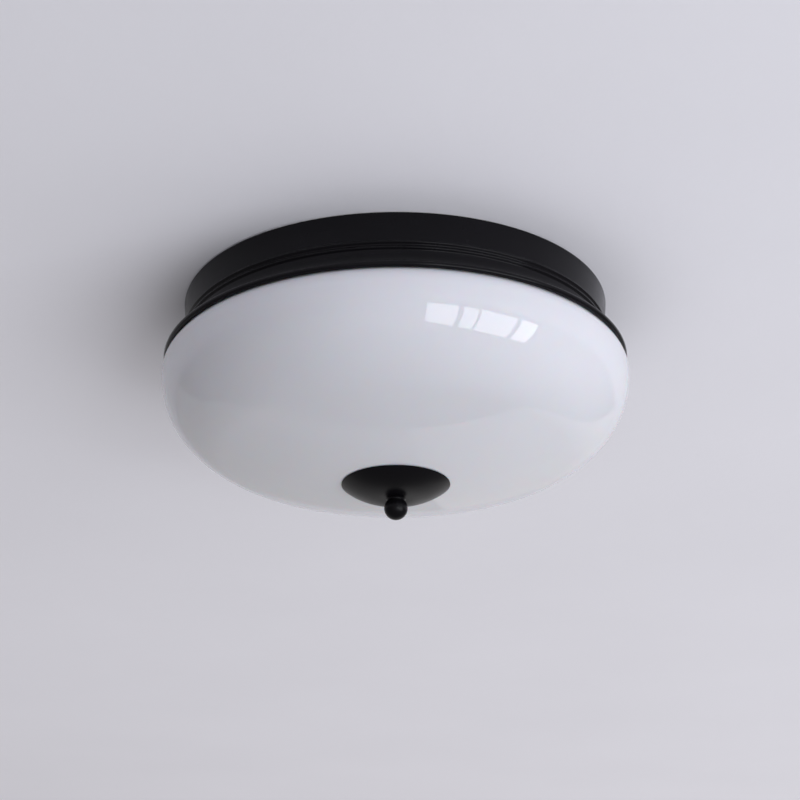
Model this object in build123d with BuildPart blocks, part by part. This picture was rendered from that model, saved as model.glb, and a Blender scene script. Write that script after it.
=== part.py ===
from build123d import *
from math import acos, asin, atan2, cos, degrees, pi, radians, sin, sqrt, tan
import os

# Flush mount ceiling light with a bowl shade. Millimetres. The ceiling is the plane z = 0,
# the light hangs below it, and its axis is Z. Depths are measured down from the ceiling.

# ---- driving dimensions: pan ----
sheet = 1.0                    # steel of the pan
pan_wall_taper = 1.6           # how much wider the wall is at the ceiling than below the ridges
pan_corner_radius = 1.6        # bend between the top plate and the wall
recess_radius = 86.0           # pressed recess of the top plate that clears the strap
recess_slope = 4.0             # run of the recess's slanted side
strap_headroom = 0.3           # between the strap and the recessed plate
ridge_count = 2
first_ridge_depth = 23.1       # middle of the upper ridge
ridge_pitch = 4.2
ridge_radius = 1.9
ridge_proud = 1.3              # how far a ridge stands out of the wall
cove_start_depth = 31.0
cove_radius = 13.3             # the flare from the wall out to the lip
bead_radius = 2.3              # rolled edge of the lip

# ---- driving dimensions: bowl ----
bowl_radius = 174.6            # outside, at the widest
bowl_shoulder_radius = 14.2    # from the widest up to the rim
bowl_shoulder_rise = 11.55     # height of the rim above the widest
bowl_side_radius = 60.7
bowl_side_angle = 43.0         # degrees of the side arc, below the widest
bowl_haunch_radius = 76.4      # from the side round to the floor
bowl_floor_angle = 19.45       # degrees from level where the floor arc begins
bowl_wall = 4.0
bowl_hole_radius = 7.0
rim_below_bead = 1.3           # the rim's height below the middle of the lip's bead
lip_clearance = 0.35           # between the bead and the bowl's shoulder
gasket_overhang = 1.0          # how far the gasket reaches inside the rim
gasket_bead_gap = 0.5
gasket_gap = 0.1               # between the gasket and the flange

# ---- driving dimensions: strap and its fixings ----
strap_length = 118.0
strap_width = 24.0
strap_thickness = 2.0
strap_corner_radius = 4.0
slot_spacing = 60.0
slot_length = 16.0
slot_width = 5.0
stud_spacing = 100.0
stud_radius = 2.0
stud_length = 14.0
stud_head_radius = 3.9
stud_head_height = 1.9
nut_m4_flats = 7.0
nut_m4_height = 3.2
washer_m4_radius = 4.5
washer_m4_thickness = 0.8
fit_gap = 0.05                 # radial gap of screws, nuts and rods in their own holes

# ---- driving dimensions: middle rod ----
rod_radius = 4.0
rod_into_finial = 8.5
rod_top_gap = 0.3              # under the pan's plate
rod_end_chamfer = 0.7
hub_radius = 20.0
hub_thickness = 3.0
lock_nut_flats = 13.0
lock_nut_height = 6.5
lock_washer_radius = 8.0
lock_washer_thickness = 1.6

# ---- driving dimensions: lamps, each lying out from the middle ----
lamp_azimuths = (90.0, 210.0, 330.0)
lamp_axis_depth = 60.0
bracket_thickness = 1.5
bracket_width = 28.0
bracket_leg_radius = 24.0      # inner face of the upright leg, from the middle
bracket_leg_overhang = 15.0    # leg below the lamp's axis
bracket_foot_length = 34.0
bracket_bend_radius = 2.5
bracket_end_radius = 10.0
bracket_screw_pitch = 14.0
nipple_radius = 5.0
nipple_bore_radius = 3.6
nipple_reach = 7.0             # into the holder
nut_m10_flats = 14.0
nut_m10_height = 3.0
holder_length = 40.0
holder_radius = 19.0
holder_back_radius = 12.5
holder_shoulder = 9.0
holder_joint_at = 20.0         # where the cap of the holder meets its sleeve
holder_joint_width = 2.4
holder_joint_proud = 0.8
holder_mouth_radius = 18.0
holder_floor_at = 12.0
holder_bore_radius = 14.4
screw_shell_wall = 0.6
screw_shell_gap = 0.3          # between the holder's shell and the bulb's cap
contact_radius = 4.0
contact_height = 1.5
bulb_tip_gap = 0.3
bulb_tip_radius = 4.6
bulb_tip_height = 1.6
bulb_insulator_height = 3.4
bulb_cap_radius = 13.1
bulb_cap_length = 22.0
bulb_thread_count = 5
bulb_thread_depth = 0.9
bulb_globe_radius = 30.0
bulb_globe_wall = 1.5
bulb_length = 108.0
bulb_seam_radius = 26.5        # where the housing meets the globe
bulb_neck_flare = 2.0

# ---- driving dimensions: cable entry, terminals, earth ----
entry_azimuth = 150.0
service_radius = 50.0          # of the entry, the terminals and the earth screw
grommet_bore_radius = 5.0
grommet_wall = 2.5
grommet_flange = 3.2
grommet_top = 1.1
grommet_bottom = 1.6
terminal_azimuth = 30.0
terminal_poles = 3
terminal_pitch = 10.0
terminal_depth = 17.0
terminal_height = 9.0
tower_radius = 4.0
tower_height = 5.0
tower_bore_radius = 2.6
tower_offset = 3.0             # row of towers off the block's middle line
terminal_fixing_offset = 5.0   # fixing screws, on the other side of that line
terminal_fixing_radius = 1.5
terminal_fixing_head_radius = 2.4
terminal_fixing_head_height = 1.6
earth_azimuth = 270.0
screw_head_radius = 3.9
screw_head_height = 2.6
screw_driver_width = 1.0
screw_driver_depth = 1.2
screw_tip_above = 1.0          # how far a screw's end stands above the recessed plate

# ---- driving dimensions: cap and finial ----
cap_radius = 40.1
cap_dish_radius = 48.5         # curve of the dish, from its flat land out to the rim
cap_land_radius = 9.0          # flat seat for the finial
cap_sheet = 1.0
cap_rim_gap = 0.3              # between the cap's rim and the bowl
cap_hole_gap = 0.3             # round the rod
seal_rim_gap = 2.5             # between the seal and the cap's rim
seal_width = 4.5
seal_gap = 0.3                 # under the bowl
bush_wall = 2.0
bush_flange_radius = 11.0
bush_flange_thickness = 1.0
bush_gap = 0.15
finial_head_radius = 7.4
finial_neck_radius = 6.3
finial_neck_height = 1.2
finial_neck_curve = 1.6        # radius of the neck's hollow
ball_radius = 8.65
finial_bore_depth = 11.0

os.makedirs("parts", exist_ok=True)

# ---- places that follow from the sizes above ----
plate_top = -strap_thickness - strap_headroom          # recessed plate, upper face
plate_under = plate_top - sheet
bead_z = -cove_start_depth - cove_radius - bead_radius
bowl_rim_z = bead_z - rim_below_bead
bowl_widest_z = bowl_rim_z - bowl_shoulder_rise
shoulder_centre = (bowl_radius - bowl_shoulder_radius, bowl_widest_z)
bead_reach = sqrt((bowl_shoulder_radius + lip_clearance + bead_radius) ** 2 - (bead_z - bowl_widest_z) ** 2)
bead_centre = (shoulder_centre[0] + bead_reach, bead_z)
cove_centre = (bead_centre[0], -cove_start_depth)
foot = cove_centre[0] - cove_radius                    # pan's wall below the ridges
pan_radius = foot + pan_wall_taper                     # pan's wall at the ceiling
ridge_centres = [(foot + ridge_proud - ridge_radius, -first_ridge_depth - k * ridge_pitch)
                 for k in range(ridge_count)]

# The bowl's section is a chain of tangent arcs: shoulder, side, haunch and floor.
side_centre = (bowl_radius - bowl_side_radius, bowl_widest_z)
side_turn = radians(bowl_side_angle)
haunch_centre = (side_centre[0] + (bowl_side_radius - bowl_haunch_radius) * cos(side_turn),
                 side_centre[1] - (bowl_side_radius - bowl_haunch_radius) * sin(side_turn))
floor_turn = radians(bowl_floor_angle)
floor_edge = haunch_centre[0] + bowl_haunch_radius * sin(floor_turn)
floor_radius = floor_edge / sin(floor_turn)
floor_centre_z = haunch_centre[1] - bowl_haunch_radius * cos(floor_turn) + floor_radius * cos(floor_turn)
haunch_sweep = 90.0 - bowl_side_angle - bowl_floor_angle
rim_outer_edge = shoulder_centre[0] + sqrt(bowl_shoulder_radius ** 2 - bowl_shoulder_rise ** 2)
rim_inner_edge = rim_outer_edge - bowl_wall


def bowl_z(radius, inset=0.0):
    """Height of the bowl's outer floor at a radius, or of its inner floor with inset = wall."""
    return floor_centre_z - sqrt((floor_radius - inset) ** 2 - radius ** 2)


# The cap hangs just under the bowl's floor, and the finial and the rod's end follow from the cap.
dish_rise = sqrt(cap_dish_radius ** 2 - (cap_radius - cap_land_radius) ** 2)   # dish's centre above the rim
inner_dish_radius = cap_dish_radius - cap_sheet
cap_rim_inner_radius = cap_land_radius + sqrt(inner_dish_radius ** 2 - dish_rise ** 2)
cap_rim_z = bowl_z(cap_rim_inner_radius) - cap_rim_gap
dish_centre = (cap_land_radius, cap_rim_z + dish_rise)
land_z = dish_centre[1] - cap_dish_radius
rod_end_z = land_z - rod_into_finial
neck_meets_ball = sqrt(ball_radius ** 2 - finial_neck_radius ** 2)
ball_centre_z = land_z - finial_neck_height - neck_meets_ball


def dish_sweep(radius, curve):
    """Angle in degrees that a curve of the dish has turned from level, at a radius from the axis."""
    return degrees(asin((radius - cap_land_radius) / curve))


def dish_inside_z(radius):
    """Height of the dish's inner face at a radius from the axis."""
    return dish_centre[1] - sqrt(inner_dish_radius ** 2 - (radius - cap_land_radius) ** 2)


def export(builder, label):
    """Label a finished piece and write its STEP file."""
    builder.part.label = label
    export_step(builder.part, f"parts/{label}.step")


def polar(radius, azimuth):
    """A point of the plan at a radius and an azimuth in degrees."""
    return (radius * cos(radians(azimuth)), radius * sin(radians(azimuth)))


def hexagon_radius(flats):
    """Circumscribed radius of a hexagon from its width across flats."""
    return flats / 2 / cos(pi / 6)


def radial_axis(azimuth):
    """The axis of a lamp, from the middle of the light outwards."""
    return Axis((0, 0, -lamp_axis_depth), (*polar(1, azimuth), 0))


def lamp_section(azimuth):
    """A plane through a lamp's axis: x runs outwards along it, y is up from it."""
    out_x, out_y = polar(1, azimuth)
    return Plane(origin=(0, 0, -lamp_axis_depth), x_dir=(out_x, out_y, 0), z_dir=(out_y, -out_x, 0))


terminal_plane = Plane(origin=(*polar(service_radius, terminal_azimuth), plate_under),
                       x_dir=(*polar(1, terminal_azimuth + 90), 0), z_dir=(0, 0, -1))


def lamp_end_plane(azimuth, distance):
    """A plane square to a lamp's axis, at a distance from the middle."""
    out_x, out_y = polar(1, azimuth)
    return Plane(origin=(out_x * distance, out_y * distance, -lamp_axis_depth),
                 x_dir=(out_y, -out_x, 0), z_dir=(out_x, out_y, 0))


# ---- ceiling strap ----
with BuildPart() as ceiling_strap:
    with BuildSketch() as strap_outline:
        RectangleRounded(strap_length, strap_width, strap_corner_radius)
        with GridLocations(slot_spacing, 0, 2, 1):
            SlotOverall(slot_length, slot_width, mode=Mode.SUBTRACT)
    extrude(amount=-strap_thickness)
    with Locations((-stud_spacing / 2, 0, 0), (stud_spacing / 2, 0, 0)):
        CounterSinkHole(stud_radius + fit_gap, stud_head_radius + fit_gap, strap_thickness)
export(ceiling_strap, "ceiling_strap")

# ---- studs: countersunk screws that hang from the strap through the pan ----
with BuildPart() as stud_model:
    with BuildSketch(Plane.XZ):
        with BuildLine():
            Polyline((0, 0), (stud_head_radius, 0), (stud_radius, -stud_head_height),
                     (stud_radius, -stud_length), (0, -stud_length), close=True)
        make_face()
    revolve(axis=Axis.Z)
with BuildPart() as strap_studs:
    with Locations((-stud_spacing / 2, 0, 0), (stud_spacing / 2, 0, 0)):
        add(stud_model.part)
export(strap_studs, "strap_studs")

stud_points = [(-stud_spacing / 2, 0), (stud_spacing / 2, 0)]
with BuildPart() as stud_washers:
    with BuildSketch(Plane.XY.offset(plate_under)):
        with Locations(*stud_points):
            Circle(washer_m4_radius)
            Circle(stud_radius + fit_gap, mode=Mode.SUBTRACT)
    extrude(amount=-washer_m4_thickness)
export(stud_washers, "stud_washers")

with BuildPart() as stud_nuts:
    with BuildSketch(Plane.XY.offset(plate_under - washer_m4_thickness)):
        with Locations(*stud_points):
            RegularPolygon(hexagon_radius(nut_m4_flats), 6)
            Circle(stud_radius + fit_gap, mode=Mode.SUBTRACT)
    extrude(amount=-nut_m4_height)
export(stud_nuts, "stud_nuts")


# ---- pan: one spun sheet, top plate, wall, ridges, cove and rolled lip ----
def ridge_half_angle(radius, line):
    """Half the angle of a ridge's arc where it meets a wall line at this radius from the axis."""
    return degrees(atan2(sqrt(radius ** 2 - (line - ridge_centres[0][0]) ** 2),
                         line - ridge_centres[0][0]))


bend_shift = sheet * tan(atan2(-plate_top, recess_slope) / 2)
outer_half = ridge_half_angle(ridge_radius, foot)
inner_half = ridge_half_angle(ridge_radius - sheet, foot - sheet)
with BuildPart() as pan:
    with BuildSketch(Plane.XZ) as pan_section:
        with BuildLine() as pan_outline:
            Polyline((0, plate_top), (recess_radius, plate_top), (recess_radius + recess_slope, 0),
                     (pan_radius - pan_corner_radius, 0))
            corner = CenterArc((pan_radius - pan_corner_radius, -pan_corner_radius),
                               pan_corner_radius, 90, -90)
            last = corner @ 1
            for centre in ridge_centres:
                ridge = CenterArc(centre, ridge_radius, outer_half, -2 * outer_half)
                Line(last, ridge @ 0)
                last = ridge @ 1
            cove = CenterArc(cove_centre, cove_radius, 180, 90)
            Line(last, cove @ 0)
            inner_cove = CenterArc(cove_centre, cove_radius + sheet, 270, -90)
            Line(cove @ 1, inner_cove @ 0)
            last = inner_cove @ 1
            for centre in reversed(ridge_centres):
                groove = CenterArc(centre, ridge_radius - sheet, -inner_half, 2 * inner_half)
                Line(last, groove @ 0)
                last = groove @ 1
            inner_corner = CenterArc((pan_radius - pan_corner_radius, -pan_corner_radius),
                                     pan_corner_radius - sheet, 0, 90)
            Line(last, inner_corner @ 0)
            Polyline(inner_corner @ 1, (recess_radius + recess_slope + bend_shift, -sheet),
                     (recess_radius + bend_shift, plate_under), (0, plate_under), (0, plate_top))
        make_face()
        with Locations(bead_centre):
            Circle(bead_radius)
    revolve(axis=Axis.Z)
    with BuildSketch(Plane.XY.offset(plate_top)) as plate_holes:
        with Locations(*stud_points):
            Circle(stud_radius + strap_headroom)
        with Locations(polar(service_radius, entry_azimuth)):
            Circle(grommet_bore_radius + grommet_wall)
        with Locations(polar(service_radius, earth_azimuth)):
            Circle(stud_radius + fit_gap)
        for azimuth in lamp_azimuths:
            with Locations(polar(bracket_leg_radius + bracket_foot_length / 2, azimuth)):
                with PolarLocations(bracket_screw_pitch / 2, 2, azimuth):
                    Circle(stud_radius + fit_gap)
    extrude(amount=-sheet, mode=Mode.SUBTRACT)
    with BuildSketch(terminal_plane):
        with Locations((0, -terminal_fixing_offset)), GridLocations(terminal_pitch, 0, terminal_poles - 1, 1):
            Circle(terminal_fixing_radius)
    extrude(amount=-sheet, mode=Mode.SUBTRACT)
export(pan, "pan")

# ---- rim gasket: soft ring between the flange and the bowl's rim ----
gasket_outer = bead_centre[0] - bead_radius - gasket_bead_gap
gasket_inner = rim_inner_edge - gasket_overhang
gasket_cove = cove_radius + sheet + gasket_gap


def under_flange(radius):
    """Height of the gasket's top under the cove, at a radius."""
    return cove_centre[1] - sqrt(gasket_cove ** 2 - (cove_centre[0] - radius) ** 2)


with BuildPart() as rim_gasket:
    with BuildSketch(Plane.XZ):
        with BuildLine():
            RadiusArc((gasket_inner, under_flange(gasket_inner)),
                      (gasket_outer, under_flange(gasket_outer)), -gasket_cove)
            Polyline((gasket_outer, under_flange(gasket_outer)), (gasket_outer, bowl_rim_z),
                     (gasket_inner, bowl_rim_z), (gasket_inner, under_flange(gasket_inner)))
        make_face()
    revolve(axis=Axis.Z)
export(rim_gasket, "rim_gasket")

# ---- hub plate, rod, lock washer and nut ----
with BuildPart() as hub_plate:
    with BuildSketch(Plane.XY.offset(plate_under)):
        Circle(hub_radius)
        Circle(rod_radius + fit_gap, mode=Mode.SUBTRACT)
    extrude(amount=-hub_thickness)
export(hub_plate, "hub_plate")

with BuildPart() as centre_rod:
    with BuildSketch(Plane.XY.offset(plate_under - rod_top_gap)):
        Circle(rod_radius)
    extrude(amount=rod_end_z - plate_under + rod_top_gap)
    chamfer(centre_rod.edges().filter_by(GeomType.CIRCLE), rod_end_chamfer)
export(centre_rod, "centre_rod")

hub_under = plate_under - hub_thickness
with BuildPart() as rod_washer:
    with BuildSketch(Plane.XY.offset(hub_under)):
        Circle(lock_washer_radius)
        Circle(rod_radius + fit_gap, mode=Mode.SUBTRACT)
    extrude(amount=-lock_washer_thickness)
export(rod_washer, "rod_washer")

with BuildPart() as rod_nut:
    with BuildSketch(Plane.XY.offset(hub_under - lock_washer_thickness)):
        RegularPolygon(hexagon_radius(lock_nut_flats), 6)
        Circle(rod_radius + fit_gap, mode=Mode.SUBTRACT)
    extrude(amount=-lock_nut_height)
export(rod_nut, "rod_nut")

# ---- screws that hold brackets and earth to the pan: one model, head down ----
with BuildPart() as screw_model:
    with BuildSketch(Plane.XZ):
        with BuildLine():
            Line((0, 0), (screw_head_radius, 0))
            head_curve = RadiusArc((screw_head_radius, 0), (0, -screw_head_height), 2 * screw_head_radius)
            Line((0, -screw_head_height), (0, 0))
        make_face()
        with BuildLine():
            Polyline((0, 0), (stud_radius, 0), (stud_radius, sheet + bracket_thickness + screw_tip_above),
                     (0, sheet + bracket_thickness + screw_tip_above), close=True)
        make_face()
    revolve(axis=Axis.Z)
    with BuildSketch(Plane.XY.offset(-screw_head_height)):
        Rectangle(2 * screw_head_radius, screw_driver_width)
        Rectangle(screw_driver_width, 2 * screw_head_radius)
    extrude(amount=screw_driver_depth, mode=Mode.SUBTRACT)

bracket_under = plate_under - bracket_thickness
bracket_screw_points = []
for azimuth in lamp_azimuths:
    for step in (-bracket_screw_pitch / 2, bracket_screw_pitch / 2):
        bracket_screw_points.append(polar(bracket_leg_radius + bracket_foot_length / 2 + step, azimuth))
with BuildPart() as bracket_screws:
    with Locations(*[(x, y, bracket_under) for x, y in bracket_screw_points]):
        add(screw_model.part)
export(bracket_screws, "bracket_screws")

earth_x, earth_y = polar(service_radius, earth_azimuth)
with BuildPart() as earth_washer:
    with BuildSketch(Plane.XY.offset(plate_under)):
        with Locations((earth_x, earth_y)):
            Circle(2 * washer_m4_radius - stud_radius)
            Circle(stud_radius + fit_gap, mode=Mode.SUBTRACT)
    extrude(amount=-bracket_thickness)
export(earth_washer, "earth_washer")

with BuildPart() as earth_screw:
    with Locations((earth_x, earth_y, bracket_under)):
        add(screw_model.part)
export(earth_screw, "earth_screw")

# ---- cable entry ----
with BuildPart() as entry_grommet:
    entry_x, entry_y = polar(service_radius, entry_azimuth)
    flange_radius = grommet_bore_radius + grommet_wall + grommet_flange
    with BuildSketch(Plane.XY.offset(plate_top)):
        with Locations((entry_x, entry_y)):
            Circle(flange_radius)
    extrude(amount=grommet_top)
    with BuildSketch(Plane.XY.offset(plate_under)):
        with Locations((entry_x, entry_y)):
            Circle(flange_radius)
    extrude(amount=-grommet_bottom)
    with BuildSketch(Plane.XY.offset(plate_top)):
        with Locations((entry_x, entry_y)):
            Circle(grommet_bore_radius + grommet_wall - fit_gap)
    extrude(amount=-sheet)
    with BuildSketch(Plane.XY.offset(plate_top + grommet_top)):
        with Locations((entry_x, entry_y)):
            Circle(grommet_bore_radius)
    extrude(amount=-(grommet_top + sheet + grommet_bottom), mode=Mode.SUBTRACT)
export(entry_grommet, "entry_grommet")

# ---- terminal block: a bar with a tower for each pole ----
with BuildPart() as terminal_block:
    with BuildSketch(terminal_plane):
        RectangleRounded(terminal_poles * terminal_pitch, terminal_depth, tower_radius / 2)
    extrude(amount=terminal_height)
    with BuildSketch(terminal_plane.offset(terminal_height)):
        with Locations((0, tower_offset)), GridLocations(terminal_pitch, 0, terminal_poles, 1):
            Circle(tower_radius)
    extrude(amount=tower_height)
    with BuildSketch(terminal_plane.offset(terminal_height + tower_height)):
        with Locations((0, tower_offset)), GridLocations(terminal_pitch, 0, terminal_poles, 1):
            Circle(tower_bore_radius)
    extrude(amount=-tower_height, mode=Mode.SUBTRACT)
    with BuildSketch(terminal_plane):
        with Locations((0, -terminal_fixing_offset)), GridLocations(terminal_pitch, 0, terminal_poles - 1, 1):
            Circle(terminal_fixing_radius)
    extrude(amount=terminal_height, mode=Mode.SUBTRACT)
export(terminal_block, "terminal_block")

with BuildPart() as terminal_screws:
    with BuildSketch(terminal_plane.offset(terminal_height)):
        with Locations((0, tower_offset)), GridLocations(terminal_pitch, 0, terminal_poles, 1):
            Circle(tower_bore_radius - fit_gap)
    extrude(amount=tower_height / 2)
export(terminal_screws, "terminal_screws")

with BuildPart() as terminal_fixings:
    with BuildSketch(terminal_plane.offset(terminal_height)):
        with Locations((0, -terminal_fixing_offset)), GridLocations(terminal_pitch, 0, terminal_poles - 1, 1):
            Circle(terminal_fixing_head_radius)
    extrude(amount=terminal_fixing_head_height)
    with BuildSketch(terminal_plane.offset(terminal_height)):
        with Locations((0, -terminal_fixing_offset)), GridLocations(terminal_pitch, 0, terminal_poles - 1, 1):
            Circle(terminal_fixing_radius - fit_gap)
    extrude(amount=-(terminal_height + sheet + screw_tip_above))
export(terminal_fixings, "terminal_fixings")

# ---- lamps ----
holder_back = bracket_leg_radius + bracket_thickness
holder_front = holder_back + holder_length
bulb_tip_at = holder_back + holder_floor_at + contact_height + bulb_tip_gap
cap_start = bulb_tip_at + bulb_tip_height + bulb_insulator_height
cap_end = cap_start + bulb_cap_length
globe_centre_at = bulb_tip_at + bulb_length - bulb_globe_radius
seam_at = globe_centre_at - sqrt(bulb_globe_radius ** 2 - bulb_seam_radius ** 2)


def make_bracket(azimuth, number):
    """L-shaped steel bracket: a foot under the pan's plate, a leg that carries the holder."""
    top = lamp_axis_depth + plate_under
    with BuildPart() as bracket:
        with BuildSketch(lamp_section(azimuth)):
            with BuildLine():
                Polyline((bracket_leg_radius, -bracket_leg_overhang), (bracket_leg_radius, top),
                         (bracket_leg_radius + bracket_foot_length, top),
                         (bracket_leg_radius + bracket_foot_length, top - bracket_thickness),
                         (holder_back, top - bracket_thickness), (holder_back, -bracket_leg_overhang),
                         close=True)
            make_face()
        extrude(amount=bracket_width / 2, both=True)
        along = Axis((0, 0, 0), (*polar(1, azimuth + 90), 0))
        bends = bracket.edges().filter_by(along).sort_by(radial_axis(azimuth))
        outer_bend = [edge for edge in bends if abs(edge.center().Z - plate_under) < fit_gap][:1]
        inner_bend = [edge for edge in bends if abs(edge.center().Z - bracket_under) < fit_gap][:1]
        fillet(outer_bend, bracket_bend_radius)
        fillet(inner_bend, bracket_bend_radius - bracket_thickness)
        leg_ends = bracket.edges().filter_by(radial_axis(azimuth)).group_by(Axis.Z)[0]
        fillet(leg_ends, bracket_end_radius)
        with BuildSketch(lamp_end_plane(azimuth, bracket_leg_radius)):
            Circle(nipple_radius + fit_gap)
        extrude(amount=bracket_thickness, mode=Mode.SUBTRACT)
        with BuildSketch(Plane.XY.offset(plate_under)):
            with Locations(polar(bracket_leg_radius + bracket_foot_length / 2, azimuth)):
                with PolarLocations(bracket_screw_pitch / 2, 2, azimuth):
                    Circle(stud_radius + fit_gap)
        extrude(amount=-bracket_thickness, mode=Mode.SUBTRACT)
    export(bracket, f"lamp_bracket_{number}")


def make_holder_body(azimuth, number):
    """Lamp holder: a domed cap and a sleeve in one closed housing, open at the mouth."""
    joint = holder_back + holder_joint_at
    with BuildPart() as body:
        with BuildSketch(lamp_section(azimuth)):
            with BuildLine():
                Line((holder_back, nipple_radius + fit_gap), (holder_back, holder_back_radius))
                ThreePointArc((holder_back, holder_back_radius),
                              (holder_back + 0.3 * holder_shoulder,
                               holder_back_radius + 0.72 * (holder_radius - holder_back_radius)),
                              (holder_back + holder_shoulder, holder_radius))
                Polyline((holder_back + holder_shoulder, holder_radius), (joint, holder_radius),
                         (joint, holder_radius + holder_joint_proud),
                         (joint + holder_joint_width, holder_radius + holder_joint_proud),
                         (joint + holder_joint_width, holder_radius),
                         (holder_front, holder_mouth_radius), (holder_front, holder_bore_radius),
                         (holder_back + holder_floor_at, holder_bore_radius),
                         (holder_back + holder_floor_at, 0), (holder_back + nipple_reach, 0),
                         (holder_back + nipple_reach, nipple_radius + fit_gap),
                         (holder_back, nipple_radius + fit_gap))
            make_face()
        revolve(axis=radial_axis(azimuth))
    export(body, f"holder_{number}_body")


def make_screw_shell(azimuth, number):
    """Threaded metal sleeve inside the holder, with a turned-in foot on the holder's floor."""
    inner = bulb_cap_radius + screw_shell_gap
    with BuildPart() as shell:
        with BuildSketch(lamp_section(azimuth)):
            with BuildLine():
                Polyline((holder_back + holder_floor_at, contact_radius + 2),
                         (holder_back + holder_floor_at, inner + screw_shell_wall),
                         (holder_front - 2, inner + screw_shell_wall), (holder_front - 2, inner),
                         (holder_back + holder_floor_at + screw_shell_wall, inner),
                         (holder_back + holder_floor_at + screw_shell_wall, contact_radius + 2), close=True)
            make_face()
        revolve(axis=radial_axis(azimuth))
    export(shell, f"holder_{number}_screw_shell")


def make_bulb_cap(azimuth, number):
    """Screw cap of a bulb: contact tip, insulator and threaded shell."""
    pitch = bulb_cap_length / bulb_thread_count
    with BuildPart() as cap:
        with BuildSketch(lamp_section(azimuth)):
            with BuildLine():
                outline = [(bulb_tip_at, 0), (bulb_tip_at, bulb_tip_radius - 1),
                           (bulb_tip_at + bulb_tip_height, bulb_tip_radius)]
                for turn in range(bulb_thread_count):
                    start = cap_start + turn * pitch
                    outline.append((start, bulb_cap_radius - bulb_thread_depth))
                    outline.append((start + pitch / 2, bulb_cap_radius))
                outline.append((cap_end, bulb_cap_radius - bulb_thread_depth))
                outline.append((cap_end, 0))
                Polyline(*outline, close=True)
            make_face()
        revolve(axis=radial_axis(azimuth))
    export(cap, f"bulb_{number}_cap")


def make_bulb_housing(azimuth, number):
    """Housing of a bulb, flaring from the screw cap to the globe."""
    with BuildPart() as housing:
        with BuildSketch(lamp_section(azimuth)):
            with BuildLine():
                Polyline((seam_at, bulb_seam_radius), (seam_at, 0), (cap_end, 0),
                         (cap_end, bulb_cap_radius + bulb_neck_flare))
                Spline((cap_end, bulb_cap_radius + bulb_neck_flare), (seam_at, bulb_seam_radius),
                       tangents=[(1, 0.15), (1, 0.75)])
            make_face()
        revolve(axis=radial_axis(azimuth))
    export(housing, f"bulb_{number}_housing")


def make_bulb_globe(azimuth, number):
    """Hollow round diffuser of a bulb, seated on its housing."""
    start = degrees(atan2(bulb_seam_radius, seam_at - globe_centre_at))
    inner_radius = bulb_globe_radius - bulb_globe_wall
    inner_start = degrees(atan2(sqrt(inner_radius ** 2 - (seam_at - globe_centre_at) ** 2),
                                seam_at - globe_centre_at))
    with BuildPart() as globe:
        with BuildSketch(lamp_section(azimuth)):
            with BuildLine():
                outer = CenterArc((globe_centre_at, 0), bulb_globe_radius, start, -start)
                inner = CenterArc((globe_centre_at, 0), inner_radius, 0, inner_start)
                Line(outer @ 1, inner @ 0)
                Line(inner @ 1, outer @ 0)
            make_face()
        revolve(axis=radial_axis(azimuth))
    export(globe, f"bulb_{number}_globe")


for lamp_number, lamp_azimuth in enumerate(lamp_azimuths, start=1):
    make_bracket(lamp_azimuth, lamp_number)
    make_holder_body(lamp_azimuth, lamp_number)
    make_screw_shell(lamp_azimuth, lamp_number)
    make_bulb_cap(lamp_azimuth, lamp_number)
    make_bulb_housing(lamp_azimuth, lamp_number)
    make_bulb_globe(lamp_azimuth, lamp_number)

with BuildPart() as holder_contacts:
    for azimuth in lamp_azimuths:
        with BuildSketch(lamp_end_plane(azimuth, holder_back + holder_floor_at)):
            Circle(contact_radius)
        extrude(amount=contact_height)
export(holder_contacts, "holder_contacts")

with BuildPart() as holder_nipples:
    for azimuth in lamp_azimuths:
        with BuildSketch(lamp_end_plane(azimuth, bracket_leg_radius - nut_m10_height - 1)):
            Circle(nipple_radius)
            Circle(nipple_bore_radius, mode=Mode.SUBTRACT)
        extrude(amount=nut_m10_height + 1 + bracket_thickness + nipple_reach)
export(holder_nipples, "holder_nipples")

with BuildPart() as holder_nuts:
    for azimuth in lamp_azimuths:
        with BuildSketch(lamp_end_plane(azimuth, bracket_leg_radius)):
            RegularPolygon(hexagon_radius(nut_m10_flats), 6)
            Circle(nipple_radius + fit_gap, mode=Mode.SUBTRACT)
        extrude(amount=-nut_m10_height)
export(holder_nuts, "holder_nuts")

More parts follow.
